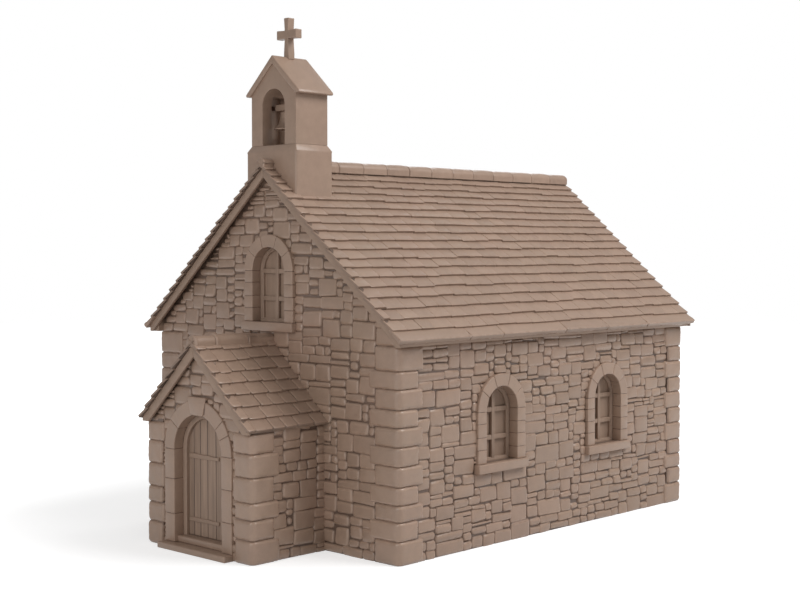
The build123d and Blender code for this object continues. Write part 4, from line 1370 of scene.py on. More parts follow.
@dataclass
class ArchedSurround:
    """Dressed stones round an arched opening: jamb stones, then voussoirs bent to the arch.

    Attributes:
        face: Face of the wall.
        centre: Middle of the opening along the face.
        spring: Height where the arch begins.
        half: Half width of the opening.
        width: Width of the surround on the face.
        proud: How far it stands before the face.
        reveal: How far it runs back into the opening.
        jambs: Heights of the joints of the left and the right jamb, up to the springing.
        voussoirs: Runs of the arch's joints, as angles from the left springing in degrees.
        radius: Radius of the arrises.
    """

    face: Face
    centre: float
    spring: float
    half: float
    width: float
    proud: float
    reveal: float
    jambs: tuple[tuple[float, ...], tuple[float, ...]]
    voussoirs: tuple[tuple[float, ...], ...]
    radius: float = 0.011

    INSIDE = 0.006
    JOINT = 0.0028
    JAMB_SPREAD = 0.004
    PROUD_SPREAD = 0.003

    def shell(self, seed: int) -> Shell:
        """All stones of the surround.

        Args:
            seed: Seed of the small differences.

        Returns:
            One shell of the jambs and voussoirs.
        """
        draw = np.random.default_rng(seed)
        wide = (self.width + self.INSIDE) / 2
        middle = self.half - self.INSIDE + wide
        deep = (self.proud + self.reveal) / 2
        out = (self.proud - self.reveal) / 2
        shells = []
        for side, levels in zip((-1, 1), self.jambs):
            level, rise = spans(np.array(levels))
            count = len(level)
            jitter = draw.uniform(-self.JAMB_SPREAD, self.JAMB_SPREAD, count)
            half = np.stack([wide + jitter, rise - self.JOINT, np.full(count, deep)], axis=1)
            across = self.centre + side * (middle + jitter)
            place = np.stack([across, level, np.full(count, out)], axis=1)
            shells.append(Blocks(seed + side).lay(place, half, self.radius, on_face(self.face)))
        bend = round_arch(self.face, self.centre, self.spring, middle)
        for number, run in enumerate(self.voussoirs):
            along, long = spans(np.radians(run) * middle)
            count = len(along)
            half = np.stack([long - self.JOINT, np.full(count, wide), np.full(count, deep)], axis=1)
            proud = out + draw.uniform(-self.PROUD_SPREAD, self.PROUD_SPREAD, count)
            place = np.stack([along, np.zeros(count), proud], axis=1)
            shells.append(Blocks(seed + 5 + number, knots=11).lay(place, half, self.radius, bend))
        return Shell.joined(shells)


def round_headed_frame(
    face: Face, centre: float, sill: float, spring: float, half: float, profile: Array, closed: bool
) -> Shell:
    """Moulded frame round an arched light.

    Every station of the path has a point of the outline and the way inwards from it, which is the mitre
    at the corners and the radius on the arch. A profile point lies its first value inwards along that
    way and its second value out of the face.

    Args:
        face: Face of the wall.
        centre: Middle of the light.
        sill: Height of the outline's foot.
        spring: Height where the arch begins.
        half: Half width of the outline.
        profile: Section points, inwards and out.
        closed: Whether a bottom rail closes the frame, or the jambs end at the sill.

    Returns:
        The frame's skin.
    """
    angle = np.linspace(pi, 0.0, ARCH_STATIONS)
    turn = np.stack([np.cos(angle), np.sin(angle)], axis=1)
    inward = 1.0 if closed else 0.0
    ways = np.concatenate([[(1.0, inward)], -turn, [(-1.0, inward)]])
    outline = np.concatenate([[(-half, 0.0)], half * turn + (0.0, spring - sill), [(half, 0.0)]])
    spots = outline[:, None] + ways[:, None] * profile[None, :, :1]
    out = np.broadcast_to(profile[:, 1], spots.shape[:2])
    points = face.place(centre + spots[..., 0], sill + spots[..., 1], out)
    return swept(points, close_path=closed)


def turned(profile: Array, centre_x: float, centre_y: float, sides: int = 64) -> Shell:
    """Profile turned round an upright axis.

    Args:
        profile: Radius and height of each point.
        centre_x: Where the axis stands.
        centre_y: Where the axis stands.
        sides: Flats round the axis.

    Returns:
        The turned skin.
    """
    angle = np.linspace(0.0, 2 * pi, sides, endpoint=False)
    x = centre_x + profile[:, 0] * np.cos(angle)[:, None]
    y = centre_y + profile[:, 0] * np.sin(angle)[:, None]
    z = np.broadcast_to(profile[:, 1], x.shape)
    return swept(np.stack([x, y, z], axis=-1), close_path=True, close_section=False)


def smooth_line(points: list[tuple[float, float]], count: int) -> Array:
    """Curve through a few points, a spline that leaves each along its neighbours' chord.

    Args:
        points: Points that it passes through.
        count: Number of points that it is divided into.

    Returns:
        The points of the curve.
    """
    knots = np.array(points)
    padded = np.concatenate([[2 * knots[0] - knots[1]], knots, [2 * knots[-1] - knots[-2]]])
    spot = np.linspace(0, len(knots) - 1, count)
    index = np.minimum(spot.astype(int), len(knots) - 2)
    share = (spot - index)[:, None]
    before, start, end, after = (padded[index + step] for step in range(4))
    return 0.5 * (
        2 * start + (end - before) * share
        + (2 * before - 5 * start + 4 * end - after) * share**2
        + (3 * start - before - 3 * end + after) * share**3
    )


@dataclass
class Chapel:
    """Places that the sub-assemblies share, read off the packed nodes, and the depth of both roofs' decks."""

    front_y: float = low("front_gable").y
    rear_y: float = high("rear_wall").y
    wall_x: float = high("right_wall").x
    soffit: float = high("corner_piers").z
    porch_front_y: float = high("door_surround").y
    porch_x: float = high("porch_wall_right").x
    nave_roof: RoofPlane = RoofPlane.of_node("roof_slates_right", pitch=41.2, courses=20)
    porch_roof: RoofPlane = RoofPlane.of_node("porch_slates_right", pitch=43.5, courses=8)
    cote_y: float = (low("bellcote_base").y + high("bellcote_base").y) / 2
    nave_deck: float = 0.092
    porch_deck: float = 0.087

    def front(self) -> Face:
        """Face of the front gable."""
        return Face((0.0, self.front_y, 0.0), (1.0, 0.0, 0.0))

    def rear(self) -> Face:
        """Face of the rear gable."""
        return Face((0.0, self.rear_y, 0.0), (-1.0, 0.0, 0.0))

    def side(self, side: int) -> Face:
        """Face of a side wall of the nave."""
        return Face((side * self.wall_x, 0.0, 0.0), (0.0, float(side), 0.0))

    def porch_front(self) -> Face:
        """Face of the porch's gable."""
        return Face((0.0, self.porch_front_y, 0.0), (1.0, 0.0, 0.0))

    def porch_side(self, side: int) -> Face:
        """Face of a side wall of the porch."""
        return Face((side * self.porch_x, 0.0, 0.0), (0.0, float(side), 0.0))


@dataclass
class Windows:
    """Six round-headed windows: two in the gables and two in each side wall."""

    chapel: Chapel
    finishes: Finishes
    half: float = 0.4
    jamb: float = 0.84
    reveal: float = 0.105
    width: float = 0.2
    proud: float = 0.078
    side_offset: float = 1.475
    mullion: float = 0.074
    bar: float = 0.08
    pane_depth: float = 0.176
    lower_bar: float = 0.38

    SILL_RISE = 0.15
    SURROUND_LAP = 0.03
    STOOL_REACH = 0.04
    STOOL_SPAN = (0.13, 0.03)
    LEFT_JAMB = (0.0, 0.27, 0.51, 0.77, 1.0)
    RIGHT_JAMB = (0.0, 0.24, 0.5, 0.74, 1.0)
    VOUSSOIRS = (0.0, 35.0, 70.0, 110.0, 146.0, 180.0)
    MOULDING = (
        (-0.02, -0.002), (0.02, -0.002), (0.024, -0.01), (0.036, -0.012), (0.044, -0.026),
        (0.055, -0.03), (0.055, -0.078), (-0.02, -0.078),
    )
    BAR_SET_BACK = 0.036
    BAR_BEHIND = 0.004
    BAR_BELOW = 0.006
    BAR_TUCK = 0.03
    MULLION_DEEP = 0.022
    BAR_DEEP = 0.018
    BAR_RADIUS = 0.009
    PANE_TUCK = 0.022
    PANE_RADIUS = 0.004
    SILL_ROUNDING = 0.016
    PANE_PAST = 0.02

    def places(self) -> list[tuple[Face, float, float]]:
        """Face, centre and sill height of every window: both gables' first, then the sides'."""
        gable_sill = high("window_sills").z
        side_sill = low("window_sills").z + self.SILL_RISE
        places = [(self.chapel.front(), 0.0, gable_sill), (self.chapel.rear(), 0.0, gable_sill)]
        for side in (-1, 1):
            for offset in (-self.side_offset, self.side_offset):
                places.append((self.chapel.side(side), offset, side_sill))
        return places

    def blocked(self, across: Array, rise: Array, centre: float, sill: float) -> Array:
        """Cells of a wall that one window takes.

        Args:
            across: Places along the wall.
            rise: Heights.
            centre: Middle of the window.
            sill: Height of its sill.

        Returns:
            Whether its opening, surround or sill covers each place.
        """
        reach = self.half + self.width - self.SURROUND_LAP
        under, over = self.STOOL_SPAN
        spring = sill + self.jamb
        offset = np.abs(across - centre)
        beside = (offset < reach) & (rise > sill - under) & (rise <= spring)
        arch = (np.hypot(offset, rise - spring) < reach) & (rise > spring)
        stool = (offset < reach + self.STOOL_REACH) & (rise > sill - under) & (rise < sill + over)
        return beside | arch | stool

    def surrounds(self) -> None:
        """Jamb stones of four heights and five voussoirs with a large crown stone."""
        shells = []
        for seed, (face, centre, sill) in enumerate(self.places()):
            jambs = tuple(sill + self.jamb * np.array(shares) for shares in (self.LEFT_JAMB, self.RIGHT_JAMB))
            surround = ArchedSurround(
                face, centre, sill + self.jamb, self.half, self.width, self.proud, self.reveal,
                jambs, (self.VOUSSOIRS,),
            )
            shells.append(surround.shell(40 + 7 * seed))
        piece = Shell.joined(shells).piece("window_surround_stones")
        self.finishes.fit(piece, Finishes.DRESSED, Slot.DRESSED)

    def frames(self) -> None:
        """Moulded frames with a mullion and two bars each."""
        profile = np.array(self.MOULDING[::-1]) - (0.0, self.reveal)
        out = -self.reveal - self.BAR_SET_BACK
        shells = []
        for seed, (face, centre, sill) in enumerate(self.places()):
            spring = sill + self.jamb
            shells.append(round_headed_frame(face, centre, sill, spring, self.half, profile, closed=True))
            crown, foot = spring + self.half - self.BAR_TUCK, sill + self.BAR_TUCK
            across = (self.half - self.BAR_TUCK, self.bar / 2, self.BAR_DEEP)
            centres = [(centre, (foot + crown) / 2, out)]
            for level in (spring - self.BAR_BELOW, sill + self.lower_bar):
                centres.append((centre, level, out - self.BAR_BEHIND))
            halves = [(self.mullion / 2, (crown - foot) / 2, self.MULLION_DEEP), across, across]
            bars = Blocks(90 + seed, uneven=0.001)
            shells.append(bars.lay(centres, halves, self.BAR_RADIUS, on_face(face)))
        piece = Shell.joined(shells).piece("window_joinery")
        self.finishes.fit(piece, Finishes.UPRIGHT_WOOD, Slot.JOINERY, replaced=("window_frames",))

    def panes(self) -> None:
        """Boards that close the lights, from close behind the bars to the back of the packed panes."""
        back = self.chapel.wall_x - high("window_panes").x + self.PANE_PAST
        depth = (back - self.pane_depth) / 2
        reach = self.half - self.PANE_TUCK
        shells = []
        for seed, (face, centre, sill) in enumerate(self.places()):
            block = Blocks(110 + seed, uneven=0.003, knots=13)
            size, place = (reach, 0.5, depth), (0.0, 0.5, -self.pane_depth - depth)

            def rise(spot: Array) -> Array:
                """Carries the board's head to the arch."""
                height = under_arch(spot[..., 0], spot[..., 1], sill, sill + self.jamb, reach)
                return face.place(centre + spot[..., 0], height, spot[..., 2])

            shells.append(block.lay(place, size, self.PANE_RADIUS, rise))
        piece = Shell.joined(shells).piece("window_pane_boards")
        self.finishes.fit(piece, Finishes.UPRIGHT_WOOD, Slot.JOINERY, replaced=("window_panes",))

    def build(self) -> None:
        """All window pieces."""
        self.surrounds()
        self.frames()
        self.panes()
        sills = softened("window_sills", "window_sill_stones", self.SILL_ROUNDING)
        self.finishes.fit(sills, Finishes.DRESSED, Slot.DRESSED, replaced=("window_sills",))


@dataclass
class Walls:
    """Rubble and corner stones of the nave and the porch."""

    chapel: Chapel
    finishes: Finishes
    windows: Windows

    NAVE_JOINTS = (0.0, 0.366, 0.661, 0.919, 1.195, 1.507, 1.8, 2.094, 2.368, 2.679, 2.953, 3.33)
    PORCH_JOINTS = (0.0, 0.365, 0.681, 0.947, 1.325, 1.691, 2.006)
    QUOIN_FRONT = 0.485
    QUOIN_SIDE = 0.4
    PORCH_QUOIN_FRONT = 0.34
    PORCH_QUOIN_SIDE = 0.41
    LAP = 0.02
    GABLE_SPACE = 0.105
    PORCH_SPACE = 0.06
    DOOR_REACH = 0.8
    DOOR_SPRING = 1.6
    KEYSTONE = (0.2, 2.45)
    SIDE_SPAN = (-3.6, 3.6)
    GABLE_SPAN = (-2.9, 2.9)
    PORCH_GABLE_SPAN = (-1.26, 1.26)
    PORCH_SIDE_SPAN = (-5.3, -3.8)

    def side_mask(self, face_side: int) -> Mask:
        """Cells of a side wall between its corner stones and outside its windows."""
        reach = self.chapel.rear_y - self.QUOIN_SIDE

        def free(across: Array, rise: Array) -> Array:
            """Whether stone may lie there."""
            keep = (np.abs(across) < reach) & (rise < self.chapel.soffit)
            for face, centre, sill in self.windows.places()[2:]:
                if face == self.chapel.side(face_side):
                    keep &= ~self.windows.blocked(across, rise, centre, sill)
            return keep

        return free

    def gable_mask(self, porch: bool) -> Mask:
        """Cells of a gable under its roof, beside the corner stones, the window and the porch."""
        roof, chapel = self.chapel.nave_roof, self.chapel
        sill = self.windows.places()[0][2]

        def free(across: Array, rise: Array) -> Array:
            """Whether stone may lie there."""
            keep = rise < roof.height(across, chapel.nave_deck) - self.GABLE_SPACE
            keep &= (np.abs(across) < chapel.wall_x - self.QUOIN_FRONT) | (rise > chapel.soffit - self.LAP)
            keep &= ~self.windows.blocked(across, rise, 0.0, sill)
            if porch:
                between = np.abs(across) < chapel.porch_x - 0.05
                keep &= ~(between & (rise < chapel.porch_roof.height(across, 0.12)))
            return keep

        return free

    def porch_gable_mask(self) -> Mask:
        """Cells of the porch's front round the doorway and under the porch roof."""
        chapel, reach, spring = self.chapel, self.DOOR_REACH, self.DOOR_SPRING
        key_half, key_head = self.KEYSTONE
        corner_from = chapel.porch_x - self.PORCH_QUOIN_FRONT

        def free(across: Array, rise: Array) -> Array:
            """Whether stone may lie there."""
            offset = np.abs(across)
            doorway = ((offset < reach) & (rise <= spring)) | (np.hypot(offset, rise - spring) < reach)
            keystone = (offset < key_half) & (rise > spring) & (rise < key_head)
            corner = (offset > corner_from) & (rise < self.PORCH_JOINTS[-1] - self.LAP)
            roof = rise < chapel.porch_roof.height(across, chapel.porch_deck) - self.PORCH_SPACE
            return roof & ~doorway & ~keystone & ~corner & (offset < chapel.porch_x)

        return free

    def porch_side_mask(self) -> Mask:
        """Cells of the porch's sides behind the corner stones."""
        corner = self.chapel.porch_front_y + self.PORCH_QUOIN_SIDE

        def free(across: Array, rise: Array) -> Array:
            """Whether stone may lie there."""
            along = -np.abs(across)
            return (along > corner) & (along < self.chapel.front_y + 0.01)

        return free

    def rubble(self) -> None:
        """Rubble of every wall, one piece a wall."""
        chapel = self.chapel
        side_rise = (0.0, 3.34)
        gable_rise = (0.0, chapel.nave_roof.height(0.0, chapel.nave_deck))
        porch_rise = (0.0, chapel.porch_roof.height(0.0, chapel.porch_deck))
        wing_rise = (0.0, high("porch_wall_right").z - 0.36)
        fronts, wing = self.PORCH_GABLE_SPAN, self.PORCH_SIDE_SPAN
        porch_mask, wing_mask = self.porch_gable_mask(), self.porch_side_mask()
        rows = (
            ("right_wall", chapel.side(1), self.SIDE_SPAN, side_rise, self.side_mask(1), SIDE_MIX),
            ("left_wall", chapel.side(-1), self.SIDE_SPAN, side_rise, self.side_mask(-1), SIDE_MIX),
            ("front_gable", chapel.front(), self.GABLE_SPAN, gable_rise, self.gable_mask(True), GABLE_MIX),
            ("rear_gable", chapel.rear(), self.GABLE_SPAN, gable_rise, self.gable_mask(False), GABLE_MIX),
            ("porch_gable", chapel.porch_front(), fronts, porch_rise, porch_mask, GABLE_MIX),
            ("porch_right", chapel.porch_side(1), wing, wing_rise, wing_mask, GABLE_MIX),
            ("porch_left", chapel.porch_side(-1), (-wing[1], -wing[0]), wing_rise, wing_mask, GABLE_MIX),
        )
        for seed, (name, face, across, rise, free, mix) in enumerate(rows, start=11):
            shell = RubbleWall(face, across, rise, free, seed, mix).shell().on_ground()
            self.finishes.fit(shell.piece(f"{name}_rubble"), Finishes.RUBBLE, Slot.RUBBLE)

    def corners(self) -> None:
        """Corner stones of the nave and the porch."""
        chapel = self.chapel
        nave = CornerStones(self.NAVE_JOINTS, long_sides=(0.64, 0.44), short_sides=(0.53, 0.545))
        porch = CornerStones(self.PORCH_JOINTS, long_sides=(0.455, 0.46), short_sides=(0.415, 0.57))
        places = [(side, y) for y in (chapel.front_y, chapel.rear_y) for side in (-1, 1)]
        pieces = {
            "nave_corner_stones": [
                nave.shell(side * chapel.wall_x, y, 20 + number) for number, (side, y) in enumerate(places)
            ],
            "porch_corner_stones": [
                porch.shell(side * chapel.porch_x, chapel.porch_front_y, 30 + side) for side in (-1, 1)
            ],
        }
        for name, shells in pieces.items():
            piece = Shell.joined(shells).on_ground().piece(name)
            self.finishes.fit(piece, Finishes.DRESSED, Slot.DRESSED)

    def build(self) -> None:
        """All wall pieces, and the mortar that the packed walls show between the stones."""
        self.rubble()
        self.corners()
        self.finishes.dress_nodes(
            Finishes.MORTAR,
            "left_wall right_wall front_wall_left front_wall_right front_gable rear_wall corner_piers "
            "porch_pier_left porch_pier_right porch_gable porch_wall_left porch_wall_right "
            "door_surround window_surrounds",
        )
        self.finishes.dress_nodes(Finishes.FLAGS, "nave_floor porch_floor")


@dataclass
class Doorway:
    """Stone surround, steps, frame and plank door of the porch."""

    chapel: Chapel
    finishes: Finishes
    half: float = 0.597
    spring: float = 1.6
    width: float = 0.236
    proud: float = 0.06
    reveal: float = 0.125
    leaf_half: float = 0.54
    plank_marks: tuple[float, ...] = (-0.54, -0.395, -0.232, -0.05, 0.16, 0.355, 0.54)
    left_jamb: tuple[float, ...] = (0.1, 0.556, 1.118, 1.6)
    right_jamb: tuple[float, ...] = (0.1, 0.585, 1.092, 1.6)
    voussoirs: tuple[tuple[float, ...], ...] = ((0.0, 35.0, 76.5), (103.5, 138.5, 156.0, 180.0))

    KEY_HALF = 0.19
    KEY_HEAD = 2.478
    KEY_PROUD = 0.074
    KEY_WIDENING = 0.2
    KEY_LAP = 0.012
    KEY_RADIUS = 0.013
    REBATE = (
        (-0.06, 0.000), (0.064, 0.000), (0.072, -0.004), (0.08, -0.012), (0.08, -0.062), (-0.06, -0.062),
    )
    PLANK_GAP = 0.002
    PLANK_CUT = 0.01
    PLANK_RADIUS = 0.01
    LEDGE_LEVELS = (0.465, 1.49)
    LEDGE_HALVES = (0.04, 0.042)
    LEDGE_OUT = 0.011
    LEDGE_DEEP = 0.0145
    LEDGE_TAPER = 0.32
    LEDGE_RADIUS = 0.012
    LEDGE_WAVE = 0.005
    LEDGE_RATE = 21
    STEP_ROUNDING = 0.018

    def surround(self) -> None:
        """Jambs and voussoirs on both sides of a taller keystone that widens upwards."""
        face = self.chapel.porch_front()
        stones = ArchedSurround(
            face, 0.0, self.spring, self.half, self.width, self.proud, self.reveal,
            (self.left_jamb, self.right_jamb), self.voussoirs, radius=0.014,
        )
        piece = Shell.joined([stones.shell(61), self.keystone(face)]).piece("door_surround_stones")
        self.finishes.fit(piece, Finishes.DRESSED, Slot.DRESSED)

    def keystone(self, face: Face) -> Shell:
        """Keystone, a wedge whose width grows evenly from its foot to its head.

        Args:
            face: Face that it stands on.

        Returns:
            Its shell.
        """
        foot = self.spring + self.half - self.KEY_LAP
        rise = (self.KEY_HEAD - foot) / 2
        middle = (self.KEY_HEAD + foot) / 2

        def wedge(spot: Array) -> Array:
            """Widens the stone with its height."""
            widen = 1 + self.KEY_WIDENING * (spot[..., 1] - middle) / rise
            return face.place(spot[..., 0] * widen, spot[..., 1], spot[..., 2])

        deep, out = (self.KEY_PROUD + self.reveal) / 2, (self.KEY_PROUD - self.reveal) / 2
        return Blocks(66).lay((0.0, middle, out), (self.KEY_HALF, rise, deep), self.KEY_RADIUS, wedge)

    def frame(self) -> None:
        """Plain rebated door frame that follows the arch."""
        profile = np.array(self.REBATE[::-1]) - (0.0, self.reveal)
        face, sill = self.chapel.porch_front(), low("door_frame").z
        shell = round_headed_frame(face, 0.0, sill, self.spring, self.half, profile, closed=False)
        piece = shell.piece("door_frame_wood")
        self.finishes.fit(piece, Finishes.UPRIGHT_WOOD, Slot.JOINERY, replaced=("door_frame",))

    def planks(self) -> None:
        """Upright planks whose heads follow the arch.

        A plank is laid one unit high, less a cut that takes its rounded ends off, and scaled at every x
        to the height under the arch there.
        """
        leaf_low, leaf_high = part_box("door_leaf")
        foot = leaf_low.z
        middle, wide = spans(np.array(self.plank_marks))
        count = len(middle)
        depth = np.full(count, (leaf_high.y - leaf_low.y) / 2)
        half = np.stack([wide - self.PLANK_GAP, np.full(count, 0.5 + self.PLANK_CUT), depth], axis=1)
        middle_y = (leaf_low.y + leaf_high.y) / 2
        centre = np.stack([middle, np.full(count, 0.5 - self.PLANK_CUT), np.zeros(count)], axis=1)

        def rise(spot: Array) -> Array:
            """Carries the planks' heads to the arch."""
            across = np.clip(spot[..., 0], -self.leaf_half, self.leaf_half)
            z = under_arch(across, spot[..., 1], foot, self.spring, self.leaf_half)
            return np.stack([across, middle_y - spot[..., 2], z], axis=-1)

        shell = Blocks(70, uneven=0.001, knots=13).lay(centre, half, self.PLANK_RADIUS, rise)
        piece = shell.piece("door_planks")
        self.finishes.fit(piece, Finishes.PLANK_WOOD, Slot.JOINERY, Body.DOOR, ("door_leaf",))

    def ledges(self) -> None:
        """Two tapered ledges, broad at the hinges, with a rounded tip and an uneven upper edge."""
        ledge_low, ledge_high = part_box("door_ledges")
        long_half = (ledge_high.x - ledge_low.x) / 2
        start_y = ledge_high.y
        low_level, high_level = self.LEDGE_LEVELS
        centres = np.array([(ledge_low.x + long_half, level, self.LEDGE_OUT) for level in self.LEDGE_LEVELS])
        halves = np.array([(long_half, half, self.LEDGE_DEEP) for half in self.LEDGE_HALVES])

        def taper(spot: Array) -> Array:
            """Narrows the ledges from the hinge side to the tip, with a wave in the upper edge."""
            share = (spot[..., 0] - ledge_low.x) / (2 * long_half)
            level = np.where(spot[..., 1] > 1.0, high_level, low_level)
            wave = self.LEDGE_WAVE * np.sin(self.LEDGE_RATE * spot[..., 0] + 2) * (spot[..., 1] > level)
            z = level + (spot[..., 1] - level) * (1 - self.LEDGE_TAPER * share) + wave
            return np.stack([spot[..., 0], start_y - spot[..., 2], z], axis=-1)

        shell = Blocks(75, uneven=0.002, knots=15).lay(centres, halves, self.LEDGE_RADIUS, taper)
        piece = shell.piece("door_ledge_boards")
        self.finishes.fit(piece, Finishes.CROSS_WOOD, Slot.JOINERY, Body.DOOR, ("door_ledges",))

    def build(self) -> None:
        """All pieces of the doorway."""
        self.surround()
        self.frame()
        self.planks()
        self.ledges()
        for node, name in (("door_step", "step_stone"), ("threshold", "threshold_stone")):
            piece = softened(node, name, self.STEP_ROUNDING)
            self.finishes.fit(piece, Finishes.DRESSED, Slot.DRESSED, replaced=(node,))
        self.finishes.dress_nodes(Finishes.IRON, "hinge_bands hinge_pins")


@dataclass
class Roofs:
    """Slates, ridge tiles and boards of both roofs."""

    chapel: Chapel
    finishes: Finishes

    VERGE_LAP = 0.024
    REAR_SPARE = 0.006
    RIDGE_TILES = 12
    RIDGE_SHORT = 0.04
    PORCH_TILES = (0.0, 0.409, 1.076)
    ROUNDING = {"front_bargeboards": 0.01, "rear_bargeboards": 0.01, "porch_bargeboards": 0.012}

    def slates(self) -> None:
        """Slates of all four slopes, one piece a slope."""
        chapel = self.chapel
        cote_low, cote_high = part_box("bellcote_base")
        hidden = (cote_high.x, cote_low.y, cote_high.y)
        nave_low, nave_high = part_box("roof_slates_right")
        porch_low, porch_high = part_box("porch_slates_right")
        nave = Slates(
            chapel.nave_roof, nave_low.y - self.VERGE_LAP, nave_high.y - self.REAR_SPARE,
            width=0.37, corner=0.012, gap=0.0006, edge=0.006, diminish=0.18, eave_width=1.3, hidden=hidden,
        )
        porch = Slates(
            chapel.porch_roof, porch_low.y - self.VERGE_LAP, porch_high.y,
            width=0.315, corner=0.034, gap=0.004, edge=0.008,
        )
        for roof, slates in (("roof", nave), ("porch", porch)):
            beds = Shell.joined([slates.verge_bed(side) for side in (-1, 1)]).piece(f"{roof}_verge_mortar")
            self.finishes.fit(beds, Finishes.MORTAR, Slot.SLATE)
            for side, word in ((-1, "left"), (1, "right")):
                node = f"{roof}_slates_{word}"
                shell = slates.shell(side, len(node) + 3 * side)
                if slates.eave_width:
                    shell = Shell.joined([shell, slates.eave(side, len(node))])
                piece = shell.piece(f"{roof}_{word}_slate_courses")
                self.finishes.fit(piece, Finishes.SLATE, Slot.SLATE, replaced=(node,))

    def ridges(self) -> None:
        """Ridge tiles of both roofs."""
        tiles_low, tiles_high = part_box("ridge_tiles")
        cote_low, cote_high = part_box("bellcote_base")
        top, porch_top = tiles_high.z, high("porch_ridge_tiles").z
        front = np.array([tiles_low.y - self.VERGE_LAP, cote_low.y])
        rear = np.linspace(cote_high.y, tiles_high.y - self.RIDGE_SHORT, self.RIDGE_TILES + 1)
        porch_start = low("porch_ridge_tiles").y
        joints = np.array([*(porch_start + np.array(self.PORCH_TILES)), high("porch_ridge_tiles").y])
        rows = {
            "nave_ridge_tiles": [
                RidgeTiles(top - 0.012, 0.08, front, 81),
                RidgeTiles(top - 0.001, 0.121, rear, 82, taper=0.014, broad=1.34),
            ],
            "porch_ridge_tile_row": [
                RidgeTiles(porch_top + 0.034, 0.122, joints[:3], 83, collar=0.014),
                RidgeTiles(porch_top + 0.01, 0.112, joints[2:], 84, collar=0.01),
            ],
        }
        for (name, tiles), node in zip(rows.items(), ("ridge_tiles", "porch_ridge_tiles")):
            piece = Shell.joined([row.shell() for row in tiles]).piece(name)
            self.finishes.fit(piece, Finishes.SLATE, Slot.SLATE, replaced=(node,))

    def boards(self) -> None:
        """Boards with rounded arrises at the eaves and verges, and plain ones inside."""
        for node, width in self.ROUNDING.items():
            piece = softened(node, f"{node}_wood", width)
            self.finishes.fit(piece, Finishes.CROSS_WOOD, Slot.TIMBER, replaced=(node,))
        eaves = softened("eaves_boards", "eaves_boards_wood", 0.01)
        self.finishes.fit(eaves, Finishes.LEVEL_WOOD, Slot.TIMBER, replaced=("eaves_boards",))
        self.finishes.dress_nodes(Finishes.LEVEL_WOOD, "roof_boards porch_boards ridge_beam")
        self.finishes.dress_nodes(Finishes.CROSS_WOOD, "rafters")

    def build(self) -> None:
        """All pieces of both roofs."""
        self.slates()
        self.ridges()
        self.boards()


